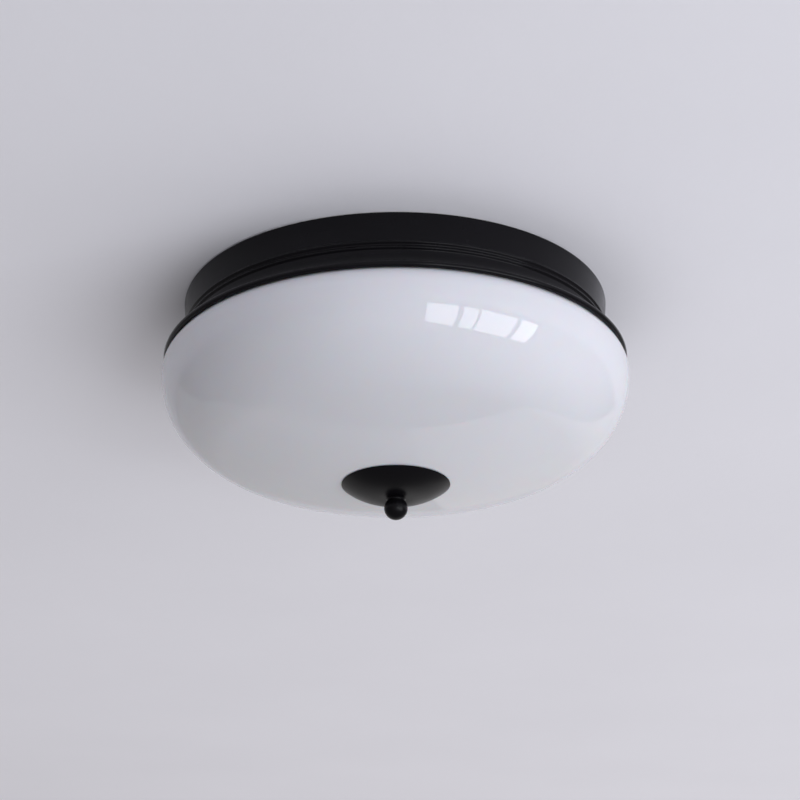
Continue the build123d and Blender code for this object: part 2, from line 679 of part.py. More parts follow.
# ---- bowl shade ----
bowl_inner_shoulder = bowl_shoulder_radius - bowl_wall
rim_outer_angle = degrees(asin(bowl_shoulder_rise / bowl_shoulder_radius))
rim_inner_angle = degrees(acos((rim_inner_edge - shoulder_centre[0]) / bowl_inner_shoulder))
hole_outer_angle = degrees(asin(bowl_hole_radius / floor_radius))
hole_inner_angle = degrees(asin(bowl_hole_radius / (floor_radius - bowl_wall)))
with BuildPart() as bowl_shade:
    with BuildSketch(Plane.XZ) as bowl_section:
        with BuildLine():
            shoulder = CenterArc(shoulder_centre, bowl_shoulder_radius, rim_outer_angle, -rim_outer_angle)
            side = CenterArc(side_centre, bowl_side_radius, 0, -bowl_side_angle)
            haunch = CenterArc(haunch_centre, bowl_haunch_radius, -bowl_side_angle, -haunch_sweep)
            floor = CenterArc((0, floor_centre_z), floor_radius, bowl_floor_angle - 90,
                              hole_outer_angle - bowl_floor_angle)
            inner_floor = CenterArc((0, floor_centre_z), floor_radius - bowl_wall, hole_inner_angle - 90,
                                    bowl_floor_angle - hole_inner_angle)
            Line(floor @ 1, inner_floor @ 0)
            CenterArc(haunch_centre, bowl_haunch_radius - bowl_wall, bowl_floor_angle - 90, haunch_sweep)
            CenterArc(side_centre, bowl_side_radius - bowl_wall, -bowl_side_angle, bowl_side_angle)
            inner_shoulder = CenterArc(shoulder_centre, bowl_inner_shoulder, 0, rim_inner_angle)
            Polyline(inner_shoulder @ 1, (rim_inner_edge, bowl_rim_z), shoulder @ 0)
        make_face()
    revolve(axis=Axis.Z)
export(bowl_shade, "bowl_shade")

# ---- bush: soft sleeve in the bowl's hole ----
bush_inner = bowl_hole_radius - bush_gap - bush_wall
with BuildPart() as hole_bush:
    with BuildSketch(Plane.XZ):
        with BuildLine():
            Polyline((bush_inner, bowl_z(0, bowl_wall)), (bowl_hole_radius - bush_gap, bowl_z(0, bowl_wall)),
                     (bowl_hole_radius - bush_gap, bowl_z(0) - bush_gap),
                     (bush_flange_radius, bowl_z(0) - bush_gap),
                     (bush_flange_radius, bowl_z(0) - bush_gap - bush_flange_thickness),
                     (bush_inner, bowl_z(0) - bush_gap - bush_flange_thickness), close=True)
        make_face()
    revolve(axis=Axis.Z)
export(hole_bush, "hole_bush")

# ---- cap: shallow spun dish under the bowl, its rim turned flat up against the glass ----
with BuildPart() as cap_dish:
    with BuildSketch(Plane.XZ) as dish_section:
        with BuildLine():
            outer_dish = CenterArc(dish_centre, cap_dish_radius, -90, dish_sweep(cap_radius, cap_dish_radius))
            Line((rod_radius + cap_hole_gap, land_z), outer_dish @ 0)
            inner_sweep = dish_sweep(cap_rim_inner_radius, inner_dish_radius)
            inner_dish = CenterArc(dish_centre, inner_dish_radius, inner_sweep - 90, -inner_sweep)
            Line(outer_dish @ 1, inner_dish @ 0)
            Polyline(inner_dish @ 1, (rod_radius + cap_hole_gap, land_z + cap_sheet),
                     (rod_radius + cap_hole_gap, land_z))
        make_face()
    revolve(axis=Axis.Z)
export(cap_dish, "cap_dish")

seal_outer = cap_rim_inner_radius - seal_rim_gap
seal_inner = seal_outer - seal_width
with BuildPart() as cap_seal:
    with BuildSketch(Plane.XZ):
        with BuildLine():
            Polyline((seal_inner, bowl_z(seal_inner) - seal_gap), (seal_outer, bowl_z(seal_outer) - seal_gap),
                     (seal_outer, dish_inside_z(seal_outer) + fit_gap),
                     (seal_inner, dish_inside_z(seal_inner) + fit_gap), close=True)
        make_face()
    revolve(axis=Axis.Z)
export(cap_seal, "cap_seal")

# ---- finial: a ball on a short flared neck, tapped from above ----
ball_start = degrees(atan2(neck_meets_ball, finial_neck_radius))
with BuildPart() as finial:
    with BuildSketch(Plane.XZ):
        with BuildLine():
            Line((rod_radius + fit_gap, land_z), (finial_head_radius, land_z))
            RadiusArc((finial_head_radius, land_z), (finial_neck_radius, land_z - finial_neck_height),
                      -finial_neck_curve)
            ball = CenterArc((0, ball_centre_z), ball_radius, ball_start, -90 - ball_start)
            Polyline(ball @ 1, (0, land_z - finial_bore_depth),
                     (rod_radius + fit_gap, land_z - finial_bore_depth), (rod_radius + fit_gap, land_z))
        make_face()
    revolve(axis=Axis.Z)
export(finial, "finial")

print("bowl rim", round(bowl_rim_z, 2), "bowl floor", round(bowl_z(0), 2), "cap rim", round(cap_rim_z, 2),
      "land", round(land_z, 2), "ball foot", round(ball_centre_z - ball_radius, 2))
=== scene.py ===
"""Looks of a flush mount ceiling light: spun steel pan, opal glass bowl, cap, finial, lamps and fixings."""

import math

import bmesh
import bpy
from mathutils import Matrix, Vector


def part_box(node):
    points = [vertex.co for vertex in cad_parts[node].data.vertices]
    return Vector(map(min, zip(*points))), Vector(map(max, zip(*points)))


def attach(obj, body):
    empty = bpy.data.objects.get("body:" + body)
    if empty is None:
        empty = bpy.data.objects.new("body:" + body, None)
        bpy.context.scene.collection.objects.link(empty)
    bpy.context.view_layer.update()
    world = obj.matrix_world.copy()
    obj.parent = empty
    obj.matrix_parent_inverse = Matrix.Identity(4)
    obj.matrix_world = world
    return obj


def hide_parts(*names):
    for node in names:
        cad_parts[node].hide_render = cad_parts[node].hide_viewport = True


bl_info = {
    "name": "Flush Mount Ceiling Light",
    "version": (1, 0, 0),
    "blender": (4, 5, 0),
    "location": "3D View > Sidebar > Ceiling Light",
    "description": "Builds the finished pieces of a flush mount ceiling light around its packed solids",
    "category": "Object",
}

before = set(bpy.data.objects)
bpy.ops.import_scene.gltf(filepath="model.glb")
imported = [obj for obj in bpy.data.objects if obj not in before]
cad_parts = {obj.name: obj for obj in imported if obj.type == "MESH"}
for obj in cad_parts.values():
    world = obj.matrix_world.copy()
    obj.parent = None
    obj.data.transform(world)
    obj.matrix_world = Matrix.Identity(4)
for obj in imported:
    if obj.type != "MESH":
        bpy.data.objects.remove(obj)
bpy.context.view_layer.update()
MM = 0.001
CREASE = 38.0                               # degrees; edges sharper than this stay sharp

# places that several pieces share
LAMP_AZIMUTHS = (90.0, 210.0, 330.0)
TERMINAL_AZIMUTH, ENTRY_AZIMUTH, EARTH_AZIMUTH = 30.0, 150.0, 270.0
SERVICE_RADIUS = 50.0 * MM                  # from the axis to the terminals, grommet and earth screw
STUD_OFFSET = 50.0 * MM                     # from the axis to each stud
BRACKET_SCREW_RADII = (34.0 * MM, 48.0 * MM)
TERMINAL_POLE = 10.0 * MM                   # from one terminal to the next

# threads
M4_PITCH, M4_THREAD_DEPTH = 0.7 * MM, 0.35 * MM
M4_HOLE, M4_NUT_BORE = 2.3 * MM, 2.05 * MM
SCREW_REACH = 3.5 * MM                      # of a pan head screw, above its head
LAMP_PITCH = 3.629 * MM                     # of the screw caps and their shells


def node_reach(node, axis=0):
    """Half the extent of a solid along an axis, for the default of a size."""
    low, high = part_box(node)
    return round((high[axis] - low[axis]) / 2, 5)


# ---------------------------------------------------------------- settings

def length(name, text, default):
    """A size in metres that a user may change."""
    return bpy.props.FloatProperty(name=name, description=text, default=default, min=0.0,
                                   unit="LENGTH", subtype="DISTANCE", precision=5)


def angle(name, text, degrees):
    """An angle that a user may change, written here in degrees."""
    return bpy.props.FloatProperty(name=name, description=text, default=math.radians(degrees),
                                   unit="ROTATION", subtype="ANGLE")


def colour(name, text, default):
    """A colour that a user may change."""
    return bpy.props.FloatVectorProperty(name=name, description=text, default=default, size=3,
                                         min=0.0, max=1.0, subtype="COLOR")


class CeilingLightSizes(bpy.types.PropertyGroup):
    """Sizes of the ceiling light."""
    sheet: length("Sheet", "Thickness of the pan's steel", 1.0 * MM)
    pan_radius: length("Pan Radius", "Radius of the pan at the ceiling", 159.5995 * MM)
    foot_radius: length("Wall Foot Radius", "Radius of the pan's wall below its ridges", 157.9995 * MM)
    pan_corner: length("Pan Corner", "Bend between the pan's plate and wall", 1.6 * MM)
    plate_depth: length("Plate Depth", "Depth of the recessed plate's upper face", 2.3 * MM)
    recess_radius: length("Recess Radius", "Radius of the recessed plate", 86.0 * MM)
    recess_slope: length("Recess Slope", "Run of the recess's slanted side", 4.0 * MM)
    first_ridge: length("First Ridge Depth", "Depth of the upper ridge's middle", 23.1 * MM)
    ridge_pitch: length("Ridge Pitch", "Distance from one ridge to the next", 4.2 * MM)
    ridge_radius: length("Ridge Radius", "Radius of a ridge's rolled section", 1.9 * MM)
    ridge_proud: length("Ridge Height", "How far a ridge stands out of the wall", 1.3 * MM)
    cove_depth: length("Cove Depth", "Depth at which the wall starts to flare", 31.0 * MM)
    cove_radius: length("Cove Radius", "Radius of the flare's section", 13.3 * MM)
    bead_radius: length("Bead Radius", "Radius of the rolled lip's section", 2.3 * MM)
    bowl_radius: length("Bowl Radius", "Radius of the glass at its widest", node_reach("bowl_shade"))
    bowl_equator: length("Bowl Widest Depth", "Depth at which the glass is widest", 59.45 * MM)
    bowl_wall: length("Glass Thickness", "Thickness of the glass", 4.0 * MM)
    bowl_shoulder: length("Shoulder Radius", "Radius of the glass's section above its widest", 14.2 * MM)
    bowl_side: length("Side Radius", "Radius of the glass's section below its widest", 60.7 * MM)
    bowl_side_angle: angle("Side Angle", "Turn of the side's section", 43.0)
    bowl_haunch: length("Haunch Radius", "Radius of the section between side and floor", 76.4 * MM)
    bowl_floor_angle: angle("Floor Angle", "Slope where the floor's section begins", 19.45)
    bowl_rim: length("Rim Inner Radius", "Inner radius of the glass's rim", 164.6606 * MM)
    bowl_rim_depth: length("Rim Depth", "Depth of the glass's rim", 47.9 * MM)
    bowl_hole: length("Hole Radius", "Radius of the hole in the glass", 7.0 * MM)
    cap_radius: length("Cap Radius", "Radius of the cap's rim", 40.1 * MM)
    cap_dish: length("Cap Dish Radius", "Curve of the cap from its flat land out to its rim", 48.5 * MM)
    cap_land: length("Cap Land Radius", "Radius of the flat under the cap", 9.0 * MM)
    cap_rim_depth: length("Cap Rim Depth", "Depth of the cap's rim", 141.0586 * MM)
    ball_radius: length("Ball Radius", "Radius of the finial's ball", 8.65 * MM)
    ball_depth: length("Ball Depth", "Depth of the ball's middle", 159.4697 * MM)
    finial_head: length("Finial Head Radius", "Radius of the finial's top face", 7.4 * MM)
    finial_neck: length("Finial Neck Radius", "Radius of the finial's neck", 6.3 * MM)
    finial_curve: length("Finial Neck Hollow", "Radius of the hollow between the finial's head and ball", 1.6 * MM)
    rod_radius: length("Rod Radius", "Outer radius of the threaded rod", 4.0 * MM)
    rod_pitch: length("Rod Pitch", "Thread pitch of the rod", 1.25 * MM)
    lamp_depth: length("Lamp Depth", "Depth of the lamps' axes", 60.0 * MM)
    bulb_radius: length("Bulb Radius", "Radius of a bulb's globe", 30.0 * MM)
    camera_distance: length("Camera Distance", "Distance from the camera to the ceiling fixing", 1.526)
    window_distance: length("Window Distance", "Distance of the window-shaped softbox", 2.0)


class CeilingLightColours(bpy.types.PropertyGroup):
    """Colours of the ceiling light and of its stage."""
    steel_black: colour("Black Coating", "Coating of the pan", (0.0042, 0.0038, 0.0050))
    cap_black: colour("Cap Coating", "Coating of the cap and the finial", (0.0032, 0.0028, 0.0038))
    opal: colour("Opal Glass", "Body colour of the glass", (0.676, 0.678, 0.722))
    zinc: colour("Zinc", "Plated fixings", (0.56, 0.57, 0.58))
    nickel: colour("Nickel", "Screw caps and shells", (0.66, 0.64, 0.60))
    brass: colour("Brass", "Contacts, terminal screws and earth screw", (0.72, 0.50, 0.20))
    holder: colour("Lamp Holder", "Moulded lamp holders", (0.030, 0.029, 0.028))
    housing: colour("Bulb Housing", "Moulded housings of the bulbs", (0.78, 0.78, 0.76))
    frost: colour("Bulb Globe", "Frosted globes of the bulbs", (0.86, 0.86, 0.83))
    silicone: colour("Silicone", "Gasket, bush, seal and grommet", (0.62, 0.61, 0.58))
    terminal: colour("Terminal Block", "Moulded terminal block", (0.74, 0.73, 0.68))
    ceiling: colour("Ceiling", "Painted ceiling", (0.855, 0.845, 0.895))
    backdrop: colour("Backdrop", "Pale surroundings", (0.80, 0.80, 0.82))
    ambient: colour("Ambient", "Light that reaches the object from all round", (0.239, 0.235, 0.239))
    window: colour("Window Light", "Colour of the window-shaped softbox", (0.925, 0.950, 1.0))


def sizes():
    """The sizes that the user may have changed."""
    return bpy.context.scene.ceiling_light_sizes


def colours():
    """The colours that the user may have changed."""
    return bpy.context.scene.ceiling_light_colours


# ---------------------------------------------------------------- outlines and meshes

def arc(centre, radius, start, sweep, step=3.0):
    """Points of an arc in a section, from a start angle through a sweep, both in degrees."""
    count = max(2, int(abs(sweep) / step) + 1)
    turns = [math.radians(start + sweep * i / count) for i in range(count + 1)]
    return [(centre[0] + radius * math.cos(t), centre[1] + radius * math.sin(t)) for t in turns]


def hollow(first, last, radius, count=6):
    """Points of an arc between two points of a section, bent towards the axis."""
    chord = Vector(last) - Vector(first)
    middle = (Vector(first) + Vector(last)) / 2
    away = Vector((-chord.y, chord.x)).normalized() * math.sqrt(radius ** 2 - (chord.length / 2) ** 2)
    centre = middle + away
    turns = [math.atan2(*(Vector(point) - centre).yx) for point in (first, last)]
    return [(centre.x + radius * math.cos(turn), centre.y + radius * math.sin(turn))
            for turn in (turns[0] + (turns[1] - turns[0]) * i / count for i in range(count + 1))]


def softened(points, radius, closed=True, least=20.0, steps=3):
    """The outline with its sharp corners rounded off by a small radius."""
    out = []
    count = len(points)
    for i, here in enumerate(points):
        here = Vector(here)
        if not closed and i in (0, count - 1):
            out.append(tuple(here))
            continue
        before = Vector(points[i - 1]) - here
        after = Vector(points[(i + 1) % count]) - here
        if before.length < 1e-7 or after.length < 1e-7:
            continue
        turn = math.degrees(math.pi - before.angle(after))
        if turn < least:
            out.append(tuple(here))
            continue
        reach = min(radius, before.length * 0.45, after.length * 0.45)
        start = here + before.normalized() * reach
        end = here + after.normalized() * reach
        for k in range(steps + 1):
            t = k / steps
            out.append(tuple(start * (1 - t) ** 2 + here * 2 * t * (1 - t) + end * t ** 2))
    return out


def mesh_object(name, verts, faces, crease=CREASE):
    """A new object from vertices and faces, smooth but for edges sharper than the crease."""
    mesh = bpy.data.meshes.new(name)
    mesh.from_pydata(verts, [], faces)
    made = bmesh.new()
    made.from_mesh(mesh)
    bmesh.ops.remove_doubles(made, verts=made.verts, dist=1e-7)
    bmesh.ops.recalc_face_normals(made, faces=made.faces)
    made.to_mesh(mesh)
    made.free()
    mesh.polygons.foreach_set("use_smooth", [True] * len(mesh.polygons))
    mesh.set_sharp_from_angle(angle=math.radians(crease))
    obj = bpy.data.objects.new(name, mesh)
    bpy.context.scene.collection.objects.link(obj)
    return obj


def turned(points, segments=96, ripple=None, closed=True, place=None):
    """Vertices and faces of a section (radius, along) turned about +Z.

    ripple(radius, along, angle) may change the radius. place moves the result.
    A closed section is a loop. An open one starts and ends on the axis.
    """
    verts, rings = [], []
    for radius, along in points:
        if radius < 1e-7:
            rings.append([len(verts)])
            verts.append((0.0, 0.0, along))
            continue
        ring = []
        for i in range(segments):
            turn = 2 * math.pi * i / segments
            r = ripple(radius, along, turn) if ripple else radius
            ring.append(len(verts))
            verts.append((r * math.cos(turn), r * math.sin(turn), along))
        rings.append(ring)
    faces = []
    pairs = list(zip(rings, rings[1:]))
    if closed:
        pairs.append((rings[-1], rings[0]))
    for first, second in pairs:
        if len(first) == 1 and len(second) == 1:
            continue
        for i in range(segments):
            j = (i + 1) % segments
            if len(first) == 1:
                faces.append((first[0], second[i], second[j]))
            elif len(second) == 1:
                faces.append((first[i], second[0], first[j]))
            else:
                faces.append((first[i], second[i], second[j], first[j]))
    if place is not None:
        verts = [tuple(place @ Vector(v)) for v in verts]
    return verts, faces


def joined(*shapes):
    """Several (vertices, faces) shapes as one."""
    verts, faces = [], []
    for shape_verts, shape_faces in shapes:
        start = len(verts)
        verts.extend(shape_verts)
        faces.extend(tuple(start + i for i in face) for face in shape_faces)
    return verts, faces


def moved(shape, place):
    """A shape carried to a place by a matrix."""
    return [tuple(place @ Vector(v)) for v in shape[0]], shape[1]


def prism(outline, low, high):
    """A straight block over a closed outline of (x, y) points."""
    count = len(outline)
    verts = [(x, y, low) for x, y in outline] + [(x, y, high) for x, y in outline]
    faces = [tuple(range(count)), tuple(range(2 * count - 1, count - 1, -1))]
    faces += [(i, (i + 1) % count, (i + 1) % count + count, i + count) for i in range(count)]
    return verts, faces


def rectangle(left, near, right, far):
    """Outline of a rectangle in the plan."""
    return [(left, near), (right, near), (right, far), (left, far)]


def cylinder(radius, low, high):
    """Open section of a plain cylinder, as (radius, height) points."""
    return [(0.0, low), (radius, low), (radius, high), (0.0, high)]


def rounded_block(width, depth, low, high, corner, edge=0.0003):
    """A block with rounded plan corners and eased top and bottom edges."""
    def loop(inset):
        points = []
        for cx, cy, start in ((1, 1, 0), (-1, 1, 90), (-1, -1, 180), (1, -1, 270)):
            centre = (cx * (width / 2 - corner), cy * (depth / 2 - corner))
            points += arc(centre, max(corner - inset, 1e-5), start, 90, 15)
        return points

    rows = [(edge, low), (0.0, low + edge), (0.0, high - edge), (edge, high)]
    verts, faces = [], []
    for inset, level in rows:
        verts.extend((x, y, level) for x, y in loop(inset))
    count = len(verts) // len(rows)
    for row in range(len(rows) - 1):
        for i in range(count):
            j = (i + 1) % count
            faces.append((row * count + i, row * count + j, (row + 1) * count + j, (row + 1) * count + i))
    faces.append(tuple(range(count)))
    last = (len(rows) - 1) * count
    faces.append(tuple(range(last + count - 1, last - 1, -1)))
    return verts, faces


def hex_nut(flats, height, bore):
    """A hexagon nut standing on z = 0, its corners chamfered, with a plain bore."""
    segments, ease = 72, 0.0004
    chamfer_start = flats / 2 * 0.97
    widest = flats / 2 * 1.13
    rings = []
    for inner, level in ((bore + ease, 0.0), (bore, ease), (bore, height - ease), (bore + ease, height)):
        rings.append([(inner, level)] * segments)
    top = [(chamfer_start, height)] * segments
    outer_top, outer_low = [], []
    for i in range(segments):
        off = (2 * math.pi * i / segments) % (math.pi / 3) - math.pi / 6
        reach = min(flats / 2 / math.cos(off), widest)
        drop = (reach - chamfer_start) * math.tan(math.radians(30))
        outer_top.append((reach, height - drop))
        outer_low.append((reach, drop))
    rings += [top, outer_top, outer_low, [(chamfer_start, 0.0)] * segments]
    verts, faces = [], []
    for ring in rings:
        for i, (radius, level) in enumerate(ring):
            turn = 2 * math.pi * i / segments
            verts.append((radius * math.cos(turn), radius * math.sin(turn), level))
    for row in range(len(rings)):
        below = ((row + 1) % len(rings)) * segments
        for i in range(segments):
            j = (i + 1) % segments
            faces.append((row * segments + i, row * segments + j, below + j, below + i))
    return verts, faces


def thread(depth, pitch, start=None, end=None, fade=0.0006):
    """A ripple that cuts a screw thread of this depth into what is turned, between two heights."""
    def ripple(radius, along, turn):
        if start is not None and not start <= along <= end:
            return radius
        phase = (along / pitch - turn / (2 * math.pi)) % 1.0
        wave = abs(2 * phase - 1)
        flank = min(1.0, max(0.0, (wave - 0.15) / 0.7))
        ease = 1.0 if start is None else min(1.0, (along - start) / fade, (end - along) / fade)
        return radius - depth * flank * max(0.0, ease)
    return ripple


def levels(start, end, step):
    """Evenly spaced heights from start to end."""
    count = max(1, round(abs(end - start) / step))
    return [start + (end - start) * i / count for i in range(count + 1)]


def lamp_place(azimuth):
    """Carries +Z onto a lamp's axis, with its start in the middle of the light."""
    outward = Vector((math.cos(math.radians(azimuth)), math.sin(math.radians(azimuth)), 0))
    side = Vector((-outward.y, outward.x, 0))
    turn = Matrix((side, Vector((0, 0, 1)), outward)).transposed().to_4x4()
    return Matrix.Translation((0, 0, -sizes().lamp_depth)) @ turn


def polar(radius, azimuth):
    """A point of the plan, from its distance and its azimuth in degrees."""
    return (radius * math.cos(math.radians(azimuth)), radius * math.sin(math.radians(azimuth)))


def cut(obj, *cutters):
    """Takes the cutters' shapes out of an object and removes the cutters."""
    for cutter in cutters:
        step = obj.modifiers.new("cut", "BOOLEAN")
        step.operation = "DIFFERENCE"
        step.solver = "EXACT"
        step.object = cutter
    done = bpy.data.meshes.new_from_object(obj.evaluated_get(bpy.context.evaluated_depsgraph_get()))
    obj.modifiers.clear()
    obj.data = done
    for cutter in cutters:
        bpy.data.objects.remove(cutter)
    done.polygons.foreach_set("use_smooth", [True] * len(done.polygons))
    done.set_sharp_from_angle(angle=math.radians(CREASE))


def dress(obj, body, slot, *nodes, materials=()):
    """Puts a finished piece on its body, in place of the solids that it stands for."""
    obj.data.materials.clear()
    for material in materials:
        obj.data.materials.append(material)
    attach(obj, body)
    if nodes:
        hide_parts(*nodes)
    return obj


def piece(name, shape, body, slot, look, *nodes, crease=CREASE):
    """Makes an object from a shape and dresses it in one finish."""
    made = mesh_object(name, *shape, crease=crease)
    return dress(made, body, slot, *nodes, materials=[finish(look)])


def paint_nodes(material, *nodes):
    """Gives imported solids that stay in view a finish."""
    for name in nodes:
        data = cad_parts[name].data
        data.materials.clear()
        data.materials.append(material)


# ---------------------------------------------------------------- shader groups

def group_shell(name, inputs, outputs):
    """An empty node group with named float or colour sockets, and its two ends."""
    tree = bpy.data.node_groups.new(name, "ShaderNodeTree")
    for title, kind, default in inputs:
        socket = tree.interface.new_socket(title, in_out="INPUT", socket_type=kind)
        socket.default_value = default
    for title, kind in outputs:
        tree.interface.new_socket(title, in_out="OUTPUT", socket_type=kind)
    return tree, tree.nodes.new("NodeGroupInput"), tree.nodes.new("NodeGroupOutput")


def put(tree, kind, links=(), **values):
    """Adds a node, sets its properties, and links or sets its numbered or named inputs."""
    made = tree.nodes.new(kind)
    for key, value in values.items():
        setattr(made, key, value)
    for socket, source in links:
        if hasattr(source, "is_output"):
            tree.links.new(source, made.inputs[socket])
        else:
            made.inputs[socket].default_value = source
    return made


def grain_group():
    """Fine moulded or sprayed grain: a height for bump and a mask for roughness."""
    tree, start, end = group_shell(
        "Surface Grain",
        (("Size", "NodeSocketFloat", 400.0), ("Detail", "NodeSocketFloat", 3.0), ("Spread", "NodeSocketFloat", 0.2)),
        (("Height", "NodeSocketFloat"), ("Mask", "NodeSocketFloat")))
    place = put(tree, "ShaderNodeTexCoord")
    noise = put(tree, "ShaderNodeTexNoise", (("Vector", place.outputs["Object"]), ("Scale", start.outputs["Size"]),
                                             ("Detail", start.outputs["Detail"]), ("Roughness", 0.55)))
    broad = put(tree, "ShaderNodeMath", ((0, start.outputs["Size"]), (1, 0.06)), operation="MULTIPLY")
    patch = put(tree, "ShaderNodeTexNoise", (("Vector", place.outputs["Object"]), ("Scale", broad.outputs[0]),
                                             ("Detail", 2.0)))
    mixed = put(tree, "ShaderNodeMath", ((0, noise.outputs["Fac"]), (1, patch.outputs["Fac"])), operation="MULTIPLY")
    low = put(tree, "ShaderNodeMath", ((0, 0.25), (1, start.outputs["Spread"])), operation="SUBTRACT")
    high = put(tree, "ShaderNodeMath", ((0, 0.25), (1, start.outputs["Spread"])), operation="ADD")
    mask = put(tree, "ShaderNodeMapRange", (("Value", mixed.outputs[0]), ("From Min", low.outputs[0]),
                                            ("From Max", high.outputs[0])))
    tree.links.new(noise.outputs["Fac"], end.inputs["Height"])
    tree.links.new(mask.outputs["Result"], end.inputs["Mask"])
    return tree


def wear_group():
    """Edge wear: a broken-up mask along convex edges."""
    tree, start, end = group_shell(
        "Edge Wear", (("Amount", "NodeSocketFloat", 0.5), ("Size", "NodeSocketFloat", 120.0)),
        (("Mask", "NodeSocketFloat"),))
    place = put(tree, "ShaderNodeTexCoord")
    shape = put(tree, "ShaderNodeNewGeometry")
    edge = put(tree, "ShaderNodeMapRange", (("Value", shape.outputs["Pointiness"]), ("From Min", 0.52),
                                            ("From Max", 0.60)))
    noise = put(tree, "ShaderNodeTexNoise", (("Vector", place.outputs["Object"]), ("Scale", start.outputs["Size"]),
                                             ("Detail", 4.0)))
    broken = put(tree, "ShaderNodeMapRange", (("Value", noise.outputs["Fac"]), ("From Min", 0.45),
                                              ("From Max", 0.62)))
    both = put(tree, "ShaderNodeMath", ((0, edge.outputs["Result"]), (1, broken.outputs["Result"])),
               operation="MULTIPLY")
    amount = put(tree, "ShaderNodeMath", ((0, both.outputs[0]), (1, start.outputs["Amount"])), operation="MULTIPLY")
    tree.links.new(amount.outputs[0], end.inputs["Mask"])
    return tree


def dust_group():
    """Settled dust: a patchy mask on faces that look up."""
    tree, start, end = group_shell(
        "Settled Dust", (("Amount", "NodeSocketFloat", 0.5), ("Size", "NodeSocketFloat", 60.0)),
        (("Mask", "NodeSocketFloat"),))
    place = put(tree, "ShaderNodeTexCoord")
    shape = put(tree, "ShaderNodeNewGeometry")
    facing = put(tree, "ShaderNodeSeparateXYZ", (("Vector", shape.outputs["Normal"]),))
    upward = put(tree, "ShaderNodeMapRange", (("Value", facing.outputs["Z"]), ("From Min", 0.25), ("From Max", 0.95)))
    noise = put(tree, "ShaderNodeTexNoise", (("Vector", place.outputs["Object"]), ("Scale", start.outputs["Size"]),
                                             ("Detail", 6.0), ("Roughness", 0.65)))
    patchy = put(tree, "ShaderNodeMapRange", (("Value", noise.outputs["Fac"]), ("From Min", 0.35), ("From Max", 0.75)))
    both = put(tree, "ShaderNodeMath", ((0, upward.outputs["Result"]), (1, patchy.outputs["Result"])),
               operation="MULTIPLY")
    amount = put(tree, "ShaderNodeMath", ((0, both.outputs[0]), (1, start.outputs["Amount"])), operation="MULTIPLY")
    tree.links.new(amount.outputs[0], end.inputs["Mask"])
    return tree


def drift_group():
    """Slow change of colour between two tones over a surface."""
    tree, start, end = group_shell(
        "Colour Drift",
        (("Tone A", "NodeSocketColor", (0.5, 0.5, 0.5, 1)), ("Tone B", "NodeSocketColor", (0.6, 0.6, 0.6, 1)),
         ("Size", "NodeSocketFloat", 20.0)), (("Colour", "NodeSocketColor"),))
    place = put(tree, "ShaderNodeTexCoord")
    noise = put(tree, "ShaderNodeTexNoise", (("Vector", place.outputs["Object"]), ("Scale", start.outputs["Size"]),
                                             ("Detail", 3.0)))
    level = put(tree, "ShaderNodeMapRange", (("Value", noise.outputs["Fac"]), ("From Min", 0.3), ("From Max", 0.7)))
    mix = put(tree, "ShaderNodeMix", ((0, level.outputs["Result"]), (6, start.outputs["Tone A"]),
                                      (7, start.outputs["Tone B"])), data_type="RGBA")
    tree.links.new(mix.outputs[2], end.inputs["Colour"])
    return tree


def scratch_group():
    """Fine scratches and drawing lines: a height and a mask from stretched noise."""
    tree, start, end = group_shell(
        "Fine Scratches", (("Size", "NodeSocketFloat", 300.0), ("Stretch", "NodeSocketVector", (1.0, 14.0, 1.0))),
        (("Height", "NodeSocketFloat"), ("Mask", "NodeSocketFloat")))
    place = put(tree, "ShaderNodeTexCoord")
    pulled = put(tree, "ShaderNodeVectorMath", ((0, place.outputs["Object"]), (1, start.outputs["Stretch"])),
                 operation="MULTIPLY")
    noise = put(tree, "ShaderNodeTexNoise", (("Vector", pulled.outputs[0]), ("Scale", start.outputs["Size"]),
                                             ("Detail", 5.0), ("Roughness", 0.6)))
    mask = put(tree, "ShaderNodeMapRange", (("Value", noise.outputs["Fac"]), ("From Min", 0.42), ("From Max", 0.60)))
    tree.links.new(noise.outputs["Fac"], end.inputs["Height"])
    tree.links.new(mask.outputs["Result"], end.inputs["Mask"])
    return tree


GROUPS = {}


def effect(tree, name, **values):
    """Places a shared effect in a material with the material's own values."""
    makers = {"Surface Grain": grain_group, "Edge Wear": wear_group, "Settled Dust": dust_group,
              "Colour Drift": drift_group, "Fine Scratches": scratch_group}
    if name not in GROUPS:
        GROUPS[name] = makers[name]()
    made = tree.nodes.new("ShaderNodeGroup")
    made.node_tree = GROUPS[name]
    for key, value in values.items():
        made.inputs[key.replace("_", " ")].default_value = value
    return made


# ---------------------------------------------------------------- materials

def rgba(tone, scale=1.0):
    """A colour made lighter or darker, with full alpha."""
    return (min(1.0, tone[0] * scale), min(1.0, tone[1] * scale), min(1.0, tone[2] * scale), 1.0)


def base_material(name, **sockets):
    """A material with its plain numbers set on the surface shader's own sockets."""
    made = bpy.data.materials.new(name)
    made.use_nodes = True
    tree = made.node_tree
    surface = tree.nodes["Principled BSDF"]
    for key, value in sockets.items():
        surface.inputs[key.replace("_", " ")].default_value = value
    return made, tree, surface


def between(tree, mask, low, high):
    """A value that runs from low to high with a mask."""
    return put(tree, "ShaderNodeMapRange", (("Value", mask), ("To Min", low), ("To Max", high))).outputs["Result"]


def blended(tree, mask, first, second):
    """A colour that runs from the first to the second with a mask."""
    return put(tree, "ShaderNodeMix", ((0, mask), (6, first), (7, second)), data_type="RGBA").outputs[2]


def bumped(tree, surface, height, strength, distance):
    """Feeds a height to the surface's normal."""
    bump = put(tree, "ShaderNodeBump", (("Height", height), ("Strength", strength), ("Distance", distance)))
    tree.links.new(bump.outputs["Normal"], surface.inputs["Normal"])


